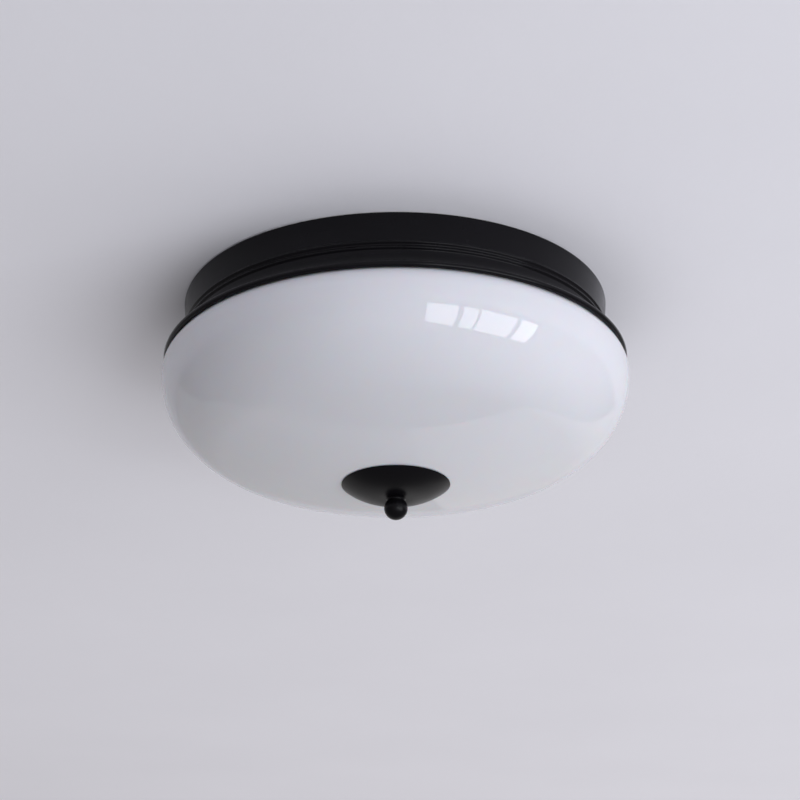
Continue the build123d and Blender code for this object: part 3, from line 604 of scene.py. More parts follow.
def coated_steel(name, tone, roughness, specular, dust):
    """Black coating on steel: sprayed grain, a little wear on edges, dust on faces that look up."""
    made, tree, surface = base_material(name, Specular_IOR_Level=specular)
    grain = effect(tree, "Surface Grain", Size=900.0, Detail=3.0, Spread=0.16)
    drift = effect(tree, "Colour Drift", Tone_A=rgba(tone, 0.85), Tone_B=rgba(tone, 1.2), Size=18.0)
    wear = effect(tree, "Edge Wear", Amount=0.12, Size=260.0)
    settled = effect(tree, "Settled Dust", Amount=dust, Size=90.0)
    worn = blended(tree, wear.outputs["Mask"], drift.outputs["Colour"], (0.08, 0.078, 0.075, 1))
    dusty = blended(tree, settled.outputs["Mask"], worn, (0.16, 0.155, 0.15, 1))
    tree.links.new(dusty, surface.inputs["Base Color"])
    tree.links.new(between(tree, grain.outputs["Mask"], roughness - 0.03, roughness + 0.05),
                   surface.inputs["Roughness"])
    bumped(tree, surface, grain.outputs["Height"], 0.16, 0.0001)
    return made


def opal_glass():
    """White opal glass under a clear outer skin, with a slow drift of density and a faint waviness."""
    tone = colours().opal
    made, tree, surface = base_material(
        "opal_glass", Roughness=0.35, Specular_IOR_Level=0.0, Coat_Weight=1.0, Coat_Roughness=0.006, Coat_IOR=1.5,
        Subsurface_Weight=0.25, Subsurface_Scale=0.004)
    drift = effect(tree, "Colour Drift", Tone_A=rgba(tone, 0.985), Tone_B=rgba(tone, 1.012), Size=9.0)
    tree.links.new(drift.outputs["Colour"], surface.inputs["Base Color"])
    grain = effect(tree, "Surface Grain", Size=16.0, Detail=1.0, Spread=0.2)
    bumped(tree, surface, grain.outputs["Height"], 0.05, 0.0012)
    return made


def plated(name, tone, roughness, stretch):
    """Plated or plain metal with fine scratches and small stains."""
    made, tree, surface = base_material(name, Metallic=1.0)
    lines = effect(tree, "Fine Scratches", Size=220.0, Stretch=stretch)
    drift = effect(tree, "Colour Drift", Tone_A=rgba(tone, 0.82), Tone_B=rgba(tone, 1.08), Size=110.0)
    wear = effect(tree, "Edge Wear", Amount=0.5, Size=200.0)
    tree.links.new(blended(tree, wear.outputs["Mask"], drift.outputs["Colour"], rgba(tone, 1.3)),
                   surface.inputs["Base Color"])
    tree.links.new(between(tree, lines.outputs["Mask"], roughness, roughness + 0.16), surface.inputs["Roughness"])
    bumped(tree, surface, lines.outputs["Height"], 0.10, 0.00012)
    return made


def moulded(name, tone, roughness, grain_size, bump, dust=0.15, **sockets):
    """Moulded plastic or rubber with fine grain, a slow drift of tone and a little dust."""
    made, tree, surface = base_material(name, **sockets)
    grain = effect(tree, "Surface Grain", Size=grain_size, Detail=3.0, Spread=0.18)
    drift = effect(tree, "Colour Drift", Tone_A=rgba(tone, 0.95), Tone_B=rgba(tone, 1.04), Size=40.0)
    settled = effect(tree, "Settled Dust", Amount=dust, Size=140.0)
    tree.links.new(blended(tree, settled.outputs["Mask"], drift.outputs["Colour"], (0.36, 0.35, 0.33, 1)),
                   surface.inputs["Base Color"])
    tree.links.new(between(tree, grain.outputs["Mask"], roughness - 0.04, roughness + 0.06),
                   surface.inputs["Roughness"])
    bumped(tree, surface, grain.outputs["Height"], bump, 0.0001)
    return made


def ceiling_paint():
    """Rolled wall paint seen from below, and clear from above so that the top of the light can be seen."""
    made, tree, surface = base_material("ceiling_paint", Roughness=0.85, Specular_IOR_Level=0.2)
    tone = colours().ceiling
    grain = effect(tree, "Surface Grain", Size=55.0, Detail=4.0, Spread=0.2)
    drift = effect(tree, "Colour Drift", Tone_A=rgba(tone, 0.985), Tone_B=rgba(tone, 1.012), Size=3.0)
    tree.links.new(drift.outputs["Colour"], surface.inputs["Base Color"])
    bumped(tree, surface, grain.outputs["Height"], 0.30, 0.0008)
    clear = put(tree, "ShaderNodeBsdfTransparent")
    shape = put(tree, "ShaderNodeNewGeometry")
    sides = put(tree, "ShaderNodeMixShader", ((0, shape.outputs["Backfacing"]), (1, surface.outputs["BSDF"]),
                                              (2, clear.outputs["BSDF"])))
    tree.links.new(sides.outputs[0], tree.nodes["Material Output"].inputs["Surface"])
    return made


FINISHES = {}


def finish(name):
    """A finish of this light by name, made the first time that it is asked for."""
    tone = colours()
    makers = {
        "pan_coat": lambda: coated_steel("pan_black_coat", tone.steel_black, 0.20, 0.15, 0.12),
        "cap_coat": lambda: coated_steel("cap_black_coat", tone.cap_black, 0.30, 0.155, 0.10),
        "opal": opal_glass,
        "zinc": lambda: plated("zinc_plate", tone.zinc, 0.30, (1.0, 9.0, 1.0)),
        "zinc_thread": lambda: plated("zinc_thread", tone.zinc, 0.26, (1.0, 1.0, 3.0)),
        "nickel": lambda: plated("nickel_shell", tone.nickel, 0.22, (1.0, 1.0, 6.0)),
        "brass": lambda: plated("machined_brass", tone.brass, 0.24, (1.0, 5.0, 1.0)),
        "solder": lambda: plated("contact_solder", (0.60, 0.60, 0.58), 0.42, (1.0, 1.0, 1.0)),
        "holder": lambda: moulded("holder_moulding", tone.holder, 0.38, 700.0, 0.25),
        "housing": lambda: moulded("bulb_housing_white", tone.housing, 0.30, 900.0, 0.10, 0.10,
                                   Subsurface_Weight=0.1, Subsurface_Scale=0.002),
        "frost": lambda: moulded("bulb_frost", tone.frost, 0.46, 1400.0, 0.06, 0.08,
                                 Subsurface_Weight=0.3, Subsurface_Scale=0.004),
        "insulator": lambda: moulded("cap_insulator", (0.018, 0.016, 0.020), 0.18, 500.0, 0.05, 0.0),
        "silicone": lambda: moulded("silicone_rubber", tone.silicone, 0.55, 500.0, 0.20, 0.25,
                                    Subsurface_Weight=0.2, Subsurface_Scale=0.002),
        "terminal": lambda: moulded("terminal_nylon", tone.terminal, 0.42, 800.0, 0.15, 0.15,
                                    Subsurface_Weight=0.2, Subsurface_Scale=0.002),
        "ceiling": ceiling_paint,
    }
    if name not in FINISHES:
        FINISHES[name] = makers[name]()
    return FINISHES[name]


# ---------------------------------------------------------------- sections

def pan_section():
    """Closed section of the pan, as (radius, height) points."""
    s = sizes()
    top, sheet, foot = -s.plate_depth, s.sheet, s.foot_radius
    slope = s.recess_slope
    shift = sheet * math.tan(math.atan2(-top, slope) / 2)
    corner_centre = (s.pan_radius - s.pan_corner, -s.pan_corner)
    ridges = [(foot + s.ridge_proud - s.ridge_radius, -s.first_ridge - k * s.ridge_pitch) for k in range(2)]
    cove = (foot + s.cove_radius, -s.cove_depth)
    bead = (cove[0], cove[1] - s.cove_radius - s.bead_radius)
    inner_half = math.degrees(math.acos((foot - sheet - ridges[0][0]) / (s.ridge_radius - sheet)))
    outside = [(0.0, top), (s.recess_radius, top), (s.recess_radius + slope, 0.0), (corner_centre[0], 0.0)]
    outside = softened(outside, 1.6 * MM, closed=False, least=8.0, steps=5)
    outside += arc(corner_centre, s.pan_corner, 90, -90, 10)[1:]
    for _, middle in ridges:
        for k in range(-10, 11):
            outside.append((foot + s.ridge_proud * (0.5 + 0.5 * math.cos(math.pi * k / 10)),
                            middle - k / 10 * s.ridge_pitch / 2))
    outside += arc(cove, s.cove_radius, 180, 90, 3)
    reach, inner = s.cove_radius + s.bead_radius, s.cove_radius + sheet
    meet = math.acos((reach ** 2 + inner ** 2 - s.bead_radius ** 2) / (2 * reach * inner))
    back = math.atan2(reach - inner * math.cos(meet), -inner * math.sin(meet))
    outside += arc(bead, s.bead_radius, 90, math.degrees(back) - 450, 10)[1:]
    inside = arc(cove, inner, 270 - math.degrees(meet), math.degrees(meet) - 90, 3)[1:]
    for centre in reversed(ridges):
        inside += arc(centre, s.ridge_radius - sheet, -inner_half, 2 * inner_half, 12)
    inside += arc(corner_centre, s.pan_corner - sheet, 0, 90, 15)
    floor = [(s.recess_radius + slope + shift, -sheet), (s.recess_radius + shift, top - sheet), (0.0, top - sheet)]
    inside += softened([inside[-1]] + floor, 1.6 * MM, closed=False, least=8.0, steps=5)[1:]
    return outside + inside


def bowl_section():
    """Closed section of the glass bowl, as (radius, height) points."""
    s = sizes()
    wall, side_turn, floor_turn = s.bowl_wall, s.bowl_side_angle, s.bowl_floor_angle
    side_deg, floor_deg = math.degrees(side_turn), math.degrees(floor_turn)
    shoulder = (s.bowl_radius - s.bowl_shoulder, -s.bowl_equator)
    side = (s.bowl_radius - s.bowl_side, -s.bowl_equator)
    gap = s.bowl_side - s.bowl_haunch
    haunch = (side[0] + gap * math.cos(side_turn), side[1] - gap * math.sin(side_turn))
    edge = haunch[0] + s.bowl_haunch * math.sin(floor_turn)
    floor = edge / math.sin(floor_turn)
    floor_centre = (0.0, haunch[1] - s.bowl_haunch * math.cos(floor_turn) + floor * math.cos(floor_turn))
    sweep = 90 - side_deg - floor_deg
    rim_outer = math.degrees(math.asin((s.bowl_equator - s.bowl_rim_depth) / s.bowl_shoulder))
    inner_shoulder = s.bowl_shoulder - wall
    rim_inner = math.degrees(math.acos((s.bowl_rim - shoulder[0]) / inner_shoulder))
    hole_outer = math.degrees(math.asin(s.bowl_hole / floor))
    hole_inner = math.degrees(math.asin(s.bowl_hole / (floor - wall)))
    outside = arc(shoulder, s.bowl_shoulder, rim_outer, -rim_outer, 1.5)
    outside += arc(side, s.bowl_side, 0, -side_deg, 1.2)[1:]
    outside += arc(haunch, s.bowl_haunch, -side_deg, -sweep, 1.2)[1:]
    outside += arc(floor_centre, floor, floor_deg - 90, hole_outer - floor_deg, 0.5)[1:]
    inside = arc(floor_centre, floor - wall, hole_inner - 90, floor_deg - hole_inner, 0.8)
    inside += arc(haunch, s.bowl_haunch - wall, floor_deg - 90, sweep, 2)[1:]
    inside += arc(side, s.bowl_side - wall, -side_deg, side_deg, 2)[1:]
    inside += arc(shoulder, inner_shoulder, 0, rim_inner, 4)[1:]
    return softened(outside + inside + [(s.bowl_rim, -s.bowl_rim_depth)], 0.7 * MM)


def cap_section():
    """Closed section of the cap's dish, and the height of its flat land."""
    s = sizes()
    inner, reach = s.cap_dish - s.sheet, s.cap_radius - s.cap_land
    rise = math.sqrt(s.cap_dish ** 2 - reach ** 2)
    centre = (s.cap_land, rise - s.cap_rim_depth)
    land, hole = centre[1] - s.cap_dish, s.rod_radius + 0.3 * MM
    outer_sweep, inner_sweep = math.degrees(math.asin(reach / s.cap_dish)), math.degrees(math.acos(rise / inner))
    loop = [(hole, land)] + arc(centre, s.cap_dish, -90, outer_sweep, 1)
    loop += arc(centre, inner, inner_sweep - 90, -inner_sweep, 1) + [(hole, land + s.sheet)]
    return softened(loop, 0.35 * MM), land


def finial_section(land):
    """Closed section of the finial: a flared head, a neck and a ball, with a blind tapped hole."""
    s = sizes()
    bore, depth = s.rod_radius + 0.05 * MM, land - 11.0 * MM
    start = math.degrees(math.acos(s.finial_neck / s.ball_radius))
    neck = s.ball_radius * math.sin(math.radians(start)) - s.ball_depth
    head = [(s.finial_head - 0.1 * MM, land), (s.finial_head, land - 0.1 * MM)]
    ball = arc((0.0, -s.ball_depth), s.ball_radius, start, -90 - start, 4)
    ball[-1] = (0.0, ball[-1][1])
    return ([(bore + 0.5 * MM, land), head[0]] + hollow(head[1], (s.finial_neck, neck), s.finial_curve)
            + ball[1:] + [(0.0, depth - 0.8 * MM), (bore - 0.6 * MM, depth), (bore, depth + 0.6 * MM),
                          (bore, land - 0.5 * MM)])


# ---------------------------------------------------------------- operators

class PieceOperator:
    """What the operators below share."""
    bl_options = {"REGISTER", "UNDO"}

    def execute(self, context):
        self.make()
        return {"FINISHED"}


class CEILING_LIGHT_OT_pan(PieceOperator, bpy.types.Operator):
    """Spins the steel pan with its ridges, cove and rolled lip, and drills its plate"""
    bl_idname = "ceiling_light.pan"
    bl_label = "Ceiling Pan"

    def make(self):
        pan = mesh_object("ceiling_pan", *turned(pan_section(), 256, closed=False))
        holes = [(side * STUD_OFFSET, 0.0, M4_HOLE) for side in (-1, 1)]
        holes.append((*polar(SERVICE_RADIUS, ENTRY_AZIMUTH), 7.5 * MM))
        holes.append((*polar(SERVICE_RADIUS, EARTH_AZIMUTH), M4_NUT_BORE))
        for azimuth in LAMP_AZIMUTHS:
            holes += [(*polar(radius, azimuth), M4_NUT_BORE) for radius in BRACKET_SCREW_RADII]
        for side in (-1, 1):
            x, y = polar(SERVICE_RADIUS - 5 * MM, TERMINAL_AZIMUTH)
            dx, dy = polar(TERMINAL_POLE / 2 * side, TERMINAL_AZIMUTH + 90)
            holes.append((x + dx, y + dy, 1.5 * MM))
        drills = [turned(cylinder(radius, -6 * MM, 2 * MM), 40, closed=False, place=Matrix.Translation((x, y, 0)))
                  for x, y, radius in holes]
        cut(pan, mesh_object("pan_drill", *joined(*drills)))
        dress(pan, "canopy", "pan_paint", "pan", materials=[finish("pan_coat")])


class CEILING_LIGHT_OT_bowl(PieceOperator, bpy.types.Operator):
    """Blows the opal glass bowl with its drawn-in shoulder and ground hole"""
    bl_idname = "ceiling_light.bowl"
    bl_label = "Glass Bowl"

    def make(self):
        piece("opal_glass_bowl", turned(bowl_section(), 256), "shade", "opal_glass", "opal", "bowl_shade")


class CEILING_LIGHT_OT_cap(PieceOperator, bpy.types.Operator):
    """Turns the cap under the bowl and the ball finial that holds it"""
    bl_idname = "ceiling_light.cap"
    bl_label = "Cap And Finial"

    def make(self):
        loop, land = cap_section()
        piece("bowl_cap", turned(loop, 192), "cap", "cap_paint", "cap_coat", "cap_dish")
        piece("ball_finial", turned(finial_section(land), 96, closed=False), "finial", "cap_paint", "cap_coat",
              "finial", crease=50.0)


class CEILING_LIGHT_OT_rod(PieceOperator, bpy.types.Operator):
    """Cuts the threaded rod and its lock nut, and finishes the hub plate and washer"""
    bl_idname = "ceiling_light.rod"
    bl_label = "Rod And Hub"

    def make(self):
        s = sizes()
        low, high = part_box("centre_rod")
        chamfer = 0.7 * MM
        points = [(0.0, low.z), (s.rod_radius - chamfer, low.z)]
        points += [(s.rod_radius, z) for z in levels(low.z + chamfer, high.z - chamfer, s.rod_pitch / 6)]
        points += [(s.rod_radius - chamfer, high.z), (0.0, high.z)]
        cutting = thread(0.75 * MM, s.rod_pitch, low.z + chamfer, high.z - chamfer)
        piece("threaded_rod", turned(points, 32, cutting, closed=False), "canopy", "steel_plated", "zinc_thread",
              "centre_rod", crease=80.0)
        low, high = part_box("rod_nut")
        nut = moved(hex_nut(13 * MM, high.z - low.z, 4.05 * MM), Matrix.Translation((0, 0, low.z)))
        piece("rod_lock_nut", nut, "canopy", "steel_plated", "zinc", "rod_nut", crease=25.0)
        paint_nodes(finish("zinc"), "hub_plate", "rod_washer")


class CEILING_LIGHT_OT_strap(PieceOperator, bpy.types.Operator):
    """Finishes the ceiling strap, and makes the studs and nuts that hang the pan from it"""
    bl_idname = "ceiling_light.strap"
    bl_label = "Ceiling Strap"

    def make(self):
        paint_nodes(finish("zinc"), "ceiling_strap", "stud_washers")
        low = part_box("strap_studs")[0]
        foot, neck = low.z + 0.4 * MM, -2.1 * MM
        section = [(0.0, low.z), (1.6 * MM, low.z)]
        section += [(2.0 * MM, z) for z in levels(foot, neck, M4_PITCH / 5)]
        section += [(2.0 * MM, -1.9 * MM), (3.8 * MM, -0.12 * MM), (3.75 * MM, 0.0), (0.0, 0.0)]
        one = turned(section, 32, thread(M4_THREAD_DEPTH, M4_PITCH, foot, neck, 0.3 * MM), closed=False)
        places = [Matrix.Translation((side * STUD_OFFSET, 0, 0)) for side in (-1, 1)]
        studs = mesh_object("pan_studs", *joined(*[moved(one, place) for place in places]), crease=60.0)
        blade = prism(rectangle(-2.2 * MM, -0.45 * MM, 2.2 * MM, 0.45 * MM), -1.0 * MM, 1.0 * MM)
        spin = Matrix.Rotation(math.radians(35), 4, "Z")
        cut(studs, mesh_object("stud_driver", *joined(*[moved(blade, place @ spin) for place in places])))
        dress(studs, "canopy", "steel_plated", "strap_studs", materials=[finish("zinc_thread")])
        low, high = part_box("stud_nuts")
        nut = hex_nut(7 * MM, high.z - low.z, M4_NUT_BORE)
        nuts = joined(*[moved(nut, place @ Matrix.Translation((0, 0, low.z))) for place in places])
        piece("pan_stud_nuts", nuts, "canopy", "steel_plated", "zinc", "stud_nuts", crease=25.0)


def pan_head_screw(level):
    """A pan head screw, head down, whose head sits under a height, ready for a cross to be cut into it."""
    head, depth, shank, reach = 3.9 * MM, 2.6 * MM, 2.0 * MM, SCREW_REACH
    dome = [(0.0, -depth), (1.3 * MM, -depth * 0.985), (2.5 * MM, -depth * 0.88), (3.35 * MM, -depth * 0.62),
            (3.8 * MM, -depth * 0.25), (head, -0.1 * MM), (head - 0.1 * MM, 0.0), (shank, 0.0)]
    shaft = [(shank, z) for z in levels(0.15 * MM, reach - 0.35 * MM, 0.14 * MM)]
    section = dome + shaft + [(1.65 * MM, reach), (0.0, reach)]
    cutting = thread(M4_THREAD_DEPTH, M4_PITCH, 0.15 * MM, reach - 0.35 * MM, 0.3 * MM)
    return moved(turned(section, 40, cutting, closed=False), Matrix.Translation((0, 0, level)))


def cross_cutter(level):
    """The cross of a driver, to be cut into a head from below."""
    half, width, depth = 2.1 * MM, 0.5 * MM, 1.5 * MM
    bar = prism(rectangle(-half, -width, half, width), -4.0 * MM, -2.6 * MM + depth)
    bars = [moved(bar, Matrix.Rotation(math.radians(turn), 4, "Z")) for turn in (0, 90)]
    return [moved(bar, Matrix.Translation((0, 0, level))) for bar in bars]


def cross_head_screws(name, points, level, spin=25.0):
    """Cross head screws at points of the plan, as one object."""
    screws, first, second = [], [], []
    for number, (x, y) in enumerate(points):
        place = Matrix.Translation((x, y, 0)) @ Matrix.Rotation(math.radians(spin * (number + 1)), 4, "Z")
        screws.append(moved(pan_head_screw(level), place))
        bars = cross_cutter(level)
        first.append(moved(bars[0], place))
        second.append(moved(bars[1], place))
    made = mesh_object(name, *joined(*screws), crease=60.0)
    cut(made, mesh_object("cross_a", *joined(*first)), mesh_object("cross_b", *joined(*second)))
    return made


class CEILING_LIGHT_OT_brackets(PieceOperator, bpy.types.Operator):
    """Finishes the three lamp brackets and makes their cross head screws"""
    bl_idname = "ceiling_light.brackets"
    bl_label = "Lamp Brackets"

    def make(self):
        paint_nodes(finish("zinc"), "lamp_bracket_1", "lamp_bracket_2", "lamp_bracket_3")
        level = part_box("bracket_screws")[1].z - SCREW_REACH
        points = [polar(radius, azimuth) for azimuth in LAMP_AZIMUTHS for radius in BRACKET_SCREW_RADII]
        screws = cross_head_screws("bracket_cross_screws", points, level)
        dress(screws, "canopy", "steel_plated", "bracket_screws", materials=[finish("zinc")])


class CEILING_LIGHT_OT_holders(PieceOperator, bpy.types.Operator):
    """Moulds the three ribbed lamp holders with their threaded shells, nipples, nuts and contacts"""
    bl_idname = "ceiling_light.holders"
    bl_label = "Lamp Holders"

    BACK = 25.5 * MM                        # along the lamp's axis, from the middle of the light
    FRONT = BACK + 40 * MM
    FLOOR = BACK + 12 * MM                  # of the socket
    MOUTH = FRONT - 2 * MM                  # of the screw shell
    NIPPLE_BORE = 5.05 * MM

    def body(self):
        """The moulded body, with grip ribs round its front half."""
        back, front, floor, bore = self.BACK, self.FRONT, self.FLOOR, 14.4 * MM
        first, last = back + 24.5 * MM, front - 3 * MM

        def ribs(radius, along, turn):
            if not first < along < last or radius < 17 * MM:
                return radius
            ease = min(1.0, (along - back - 24.5 * MM) / (1 * MM), (last - along) / (1 * MM))
            return radius - 0.55 * MM * ease * (0.5 - 0.5 * math.cos(30 * turn)) ** 2

        outside = [(12.5, 0.0), (14.6, 0.6), (16.6, 1.9), (18.0, 4.0), (18.8, 6.6), (19.0, 9.0), (19.0, 19.4),
                   (19.25, 19.8), (19.8, 20.0), (19.8, 22.2), (19.3, 22.5), (19.0, 23.0)]
        section = [(self.NIPPLE_BORE, back)] + [(r * MM, back + z * MM) for r, z in outside]
        for along in levels(back + 24 * MM, front - 2 * MM, 1 * MM):
            section.append((19.0 * MM - (along - back - 23 * MM) * 0.055, along))
        section += [(17.7 * MM, front - 0.6 * MM), (17.2 * MM, front), (15.0 * MM, front), (bore, front - 0.7 * MM),
                    (bore, floor), (0.0, floor), (0.0, back + 7 * MM), (self.NIPPLE_BORE, back + 7 * MM)]
        return turned(section, 180, ribs, closed=True)

    def shell(self):
        """The rolled screw shell inside the body."""
        floor, mouth, wall, bore = self.FLOOR, self.MOUTH, 0.6 * MM, 13.4 * MM
        rows = levels(floor + 1 * MM, mouth, 0.6 * MM)
        tube = [(6.0 * MM, floor), (13.9 * MM, floor)]
        tube += [(14.0 * MM, z) for z in rows]
        tube += [(bore, z) for z in reversed(rows)]
        tube += [(13.3 * MM, floor + wall), (6.0 * MM, floor + wall)]

        def rolled(radius, along, turn):
            if radius < bore or not floor + 2 * MM < along < mouth - 1 * MM:
                return radius
            phase = 2 * math.pi * (along / LAMP_PITCH) - turn
            return radius + 0.16 * MM * math.cos(phase) - 0.16 * MM

        return turned(tube, 96, rolled)

    def pipe(self):
        """The threaded nipple between bracket and body."""
        low, high = 20.4 * MM, 32.2 * MM
        section = [(3.6 * MM, 20 * MM), (4.6 * MM, 20 * MM)]
        section += [(5.0 * MM, z) for z in levels(low, high, 0.2 * MM)]
        section += [(4.6 * MM, 32.5 * MM), (3.6 * MM, 32.5 * MM)]
        cutting = thread(0.45 * MM, 1 * MM, low, high, 0.4 * MM)
        return turned(section, 40, lambda r, z, t: cutting(r, z, t) if r > 4.9 * MM else r)

    def contact(self):
        """The sprung contact on the socket's floor."""
        floor = self.FLOOR
        tongue = [(0.0, floor), (3.6 * MM, floor), (4.0 * MM, floor + 0.3 * MM), (3.9 * MM, floor + 0.9 * MM),
                  (3.0 * MM, floor + 1.35 * MM), (0.0, floor + 1.5 * MM)]
        return turned(tongue, 40, closed=False)

    def make(self):
        body, shell, pipe, contact = self.body(), self.shell(), self.pipe(), self.contact()
        nut = hex_nut(14 * MM, 3 * MM, self.NIPPLE_BORE)
        pipes, nuts, contacts = [], [], []
        for number, azimuth in enumerate(LAMP_AZIMUTHS, start=1):
            place = lamp_place(azimuth)
            piece(f"lamp_holder_{number}", moved(body, place), "canopy", "holder_plastic", "holder",
                  f"holder_{number}_body")
            piece(f"holder_thread_shell_{number}", moved(shell, place), "canopy", "nickel", "nickel",
                  f"holder_{number}_screw_shell", crease=60.0)
            pipes.append(moved(pipe, place))
            nuts.append(moved(nut, place @ Matrix.Translation((0, 0, 21 * MM))))
            contacts.append(moved(contact, place))
        piece("holder_threaded_nipples", joined(*pipes), "canopy", "steel_plated", "zinc_thread", "holder_nipples",
              crease=80.0)
        piece("holder_nipple_nuts", joined(*nuts), "canopy", "steel_plated", "zinc", "holder_nuts", crease=25.0)
        piece("holder_centre_contacts", joined(*contacts), "canopy", "brass", "brass", "holder_contacts")


class CEILING_LIGHT_OT_bulbs(PieceOperator, bpy.types.Operator):
    """Makes the three bulbs: rolled screw cap, insulator, solder tip, moulded housing and frosted globe"""
    bl_idname = "ceiling_light.bulbs"
    bl_label = "Bulbs"

    TIP = 39.3 * MM                         # along the lamp's axis, from the middle of the light
    CAP_START, CAP_END = TIP + 5.0 * MM, TIP + 27.0 * MM
    LENGTH = 108 * MM
    SEAM_RADIUS = 26.5 * MM                 # where housing and globe meet

    def solder(self):
        """The contact at the tip."""
        tip = self.TIP
        return turned([(0.0, tip), (2.2 * MM, tip + 0.1 * MM), (3.7 * MM, tip + 0.6 * MM), (4.5 * MM, tip + 1.4 * MM),
                       (4.5 * MM, tip + 1.7 * MM), (0.0, tip + 1.7 * MM)], 48, closed=False)

    def cone(self):
        """The dark insulator between tip and screw cap."""
        tip = self.TIP
        return turned([(0.0, tip + 1.55 * MM), (4.6 * MM, tip + 1.6 * MM), (5.6 * MM, tip + 1.9 * MM),
                       (10.2 * MM, tip + 4.6 * MM), (11.3 * MM, tip + 5.1 * MM), (0.0, tip + 5.3 * MM)],
                      64, closed=False)

    def sleeve(self):
        """The rolled screw cap."""
        start, end = self.CAP_START, self.CAP_END
        first, last = start + 1 * MM, end - 3.5 * MM
        rows = [(11.2 * MM, start), (12.1 * MM, start + 0.5 * MM)]
        rows += [(12.65 * MM, z) for z in levels(first, last, 0.45 * MM)]
        rows += [(12.6 * MM, end - 3 * MM), (12.9 * MM, end - 2.6 * MM), (13.05 * MM, end - 2 * MM),
                 (13.05 * MM, end), (0.0, end), (0.0, start)]

        def rolled(radius, along, turn):
            if radius < 12.62 * MM or not first <= along <= last:
                return radius
            ease = max(0.0, min(1.0, (along - start - 1 * MM) / (1.5 * MM), (last - along) / (1.5 * MM)))
            return radius + 0.45 * MM * ease * math.cos(2 * math.pi * along / LAMP_PITCH - turn)

        return turned(rows, 96, rolled)

    def case(self, seam):
        """The flared housing, from the screw cap to its seam with the globe."""
        end = self.CAP_END
        flare = [(15.1, 0.0), (15.5, 1.0), (16.2, 4.0), (17.1, 8.0), (18.3, 13.0), (19.7, 18.0), (21.4, 23.5),
                 (23.3, 29.0), (25.2, 33.8)]
        span = (seam - end) / (36.9 * MM)
        rows = [(0.0, end), (14.7 * MM, end)]
        rows += [(r * MM, end + (z + 0.3) * MM * span) for r, z in flare]
        rows += [(26.2 * MM, seam - 0.55 * MM), (26.2 * MM, seam - 0.25 * MM), (26.35 * MM, seam), (0.0, seam)]
        return turned(rows, 96, closed=False)

    def globe(self, seam, middle, radius):
        """The frosted globe, a thin shell that stands on the seam."""
        opening = math.degrees(math.atan2(self.SEAM_RADIUS, seam - middle))
        outer = [(y, x) for x, y in arc((middle, 0.0), radius, opening, -opening, 3)]
        outer[-1] = (0.0, middle + radius)
        inner_radius = radius - 1.5 * MM
        inner_opening = math.degrees(math.acos((seam - middle) / inner_radius))
        inner = [(y, x) for x, y in arc((middle, 0.0), inner_radius, 0, inner_opening, 4)]
        inner[0] = (0.0, middle + inner_radius)
        return turned(outer + inner, 96)

    def make(self):
        radius = sizes().bulb_radius
        middle = self.TIP + self.LENGTH - radius
        seam = middle - math.sqrt(radius ** 2 - self.SEAM_RADIUS ** 2)
        sleeve, cone, solder = self.sleeve(), self.cone(), self.solder()
        case, globe = self.case(seam), self.globe(seam, middle, radius)
        for number, azimuth in enumerate(LAMP_AZIMUTHS, start=1):
            place, body = lamp_place(azimuth), f"bulb_{number}"
            parts = [(f"bulb_screw_cap_{number}", sleeve, "nickel", "nickel", (f"bulb_{number}_cap",)),
                     (f"bulb_insulator_{number}", cone, "nickel", "insulator", ()),
                     (f"bulb_solder_tip_{number}", solder, "nickel", "solder", ()),
                     (f"bulb_case_{number}", case, "bulb_housing", "housing", (f"bulb_{number}_housing",)),
                     (f"bulb_globe_{number}", globe, "bulb_diffuser", "frost", (f"bulb_{number}_globe",))]
            for name, shape, slot, look, nodes in parts:
                piece(name, moved(shape, place), body, slot, look, *nodes, crease=50.0)


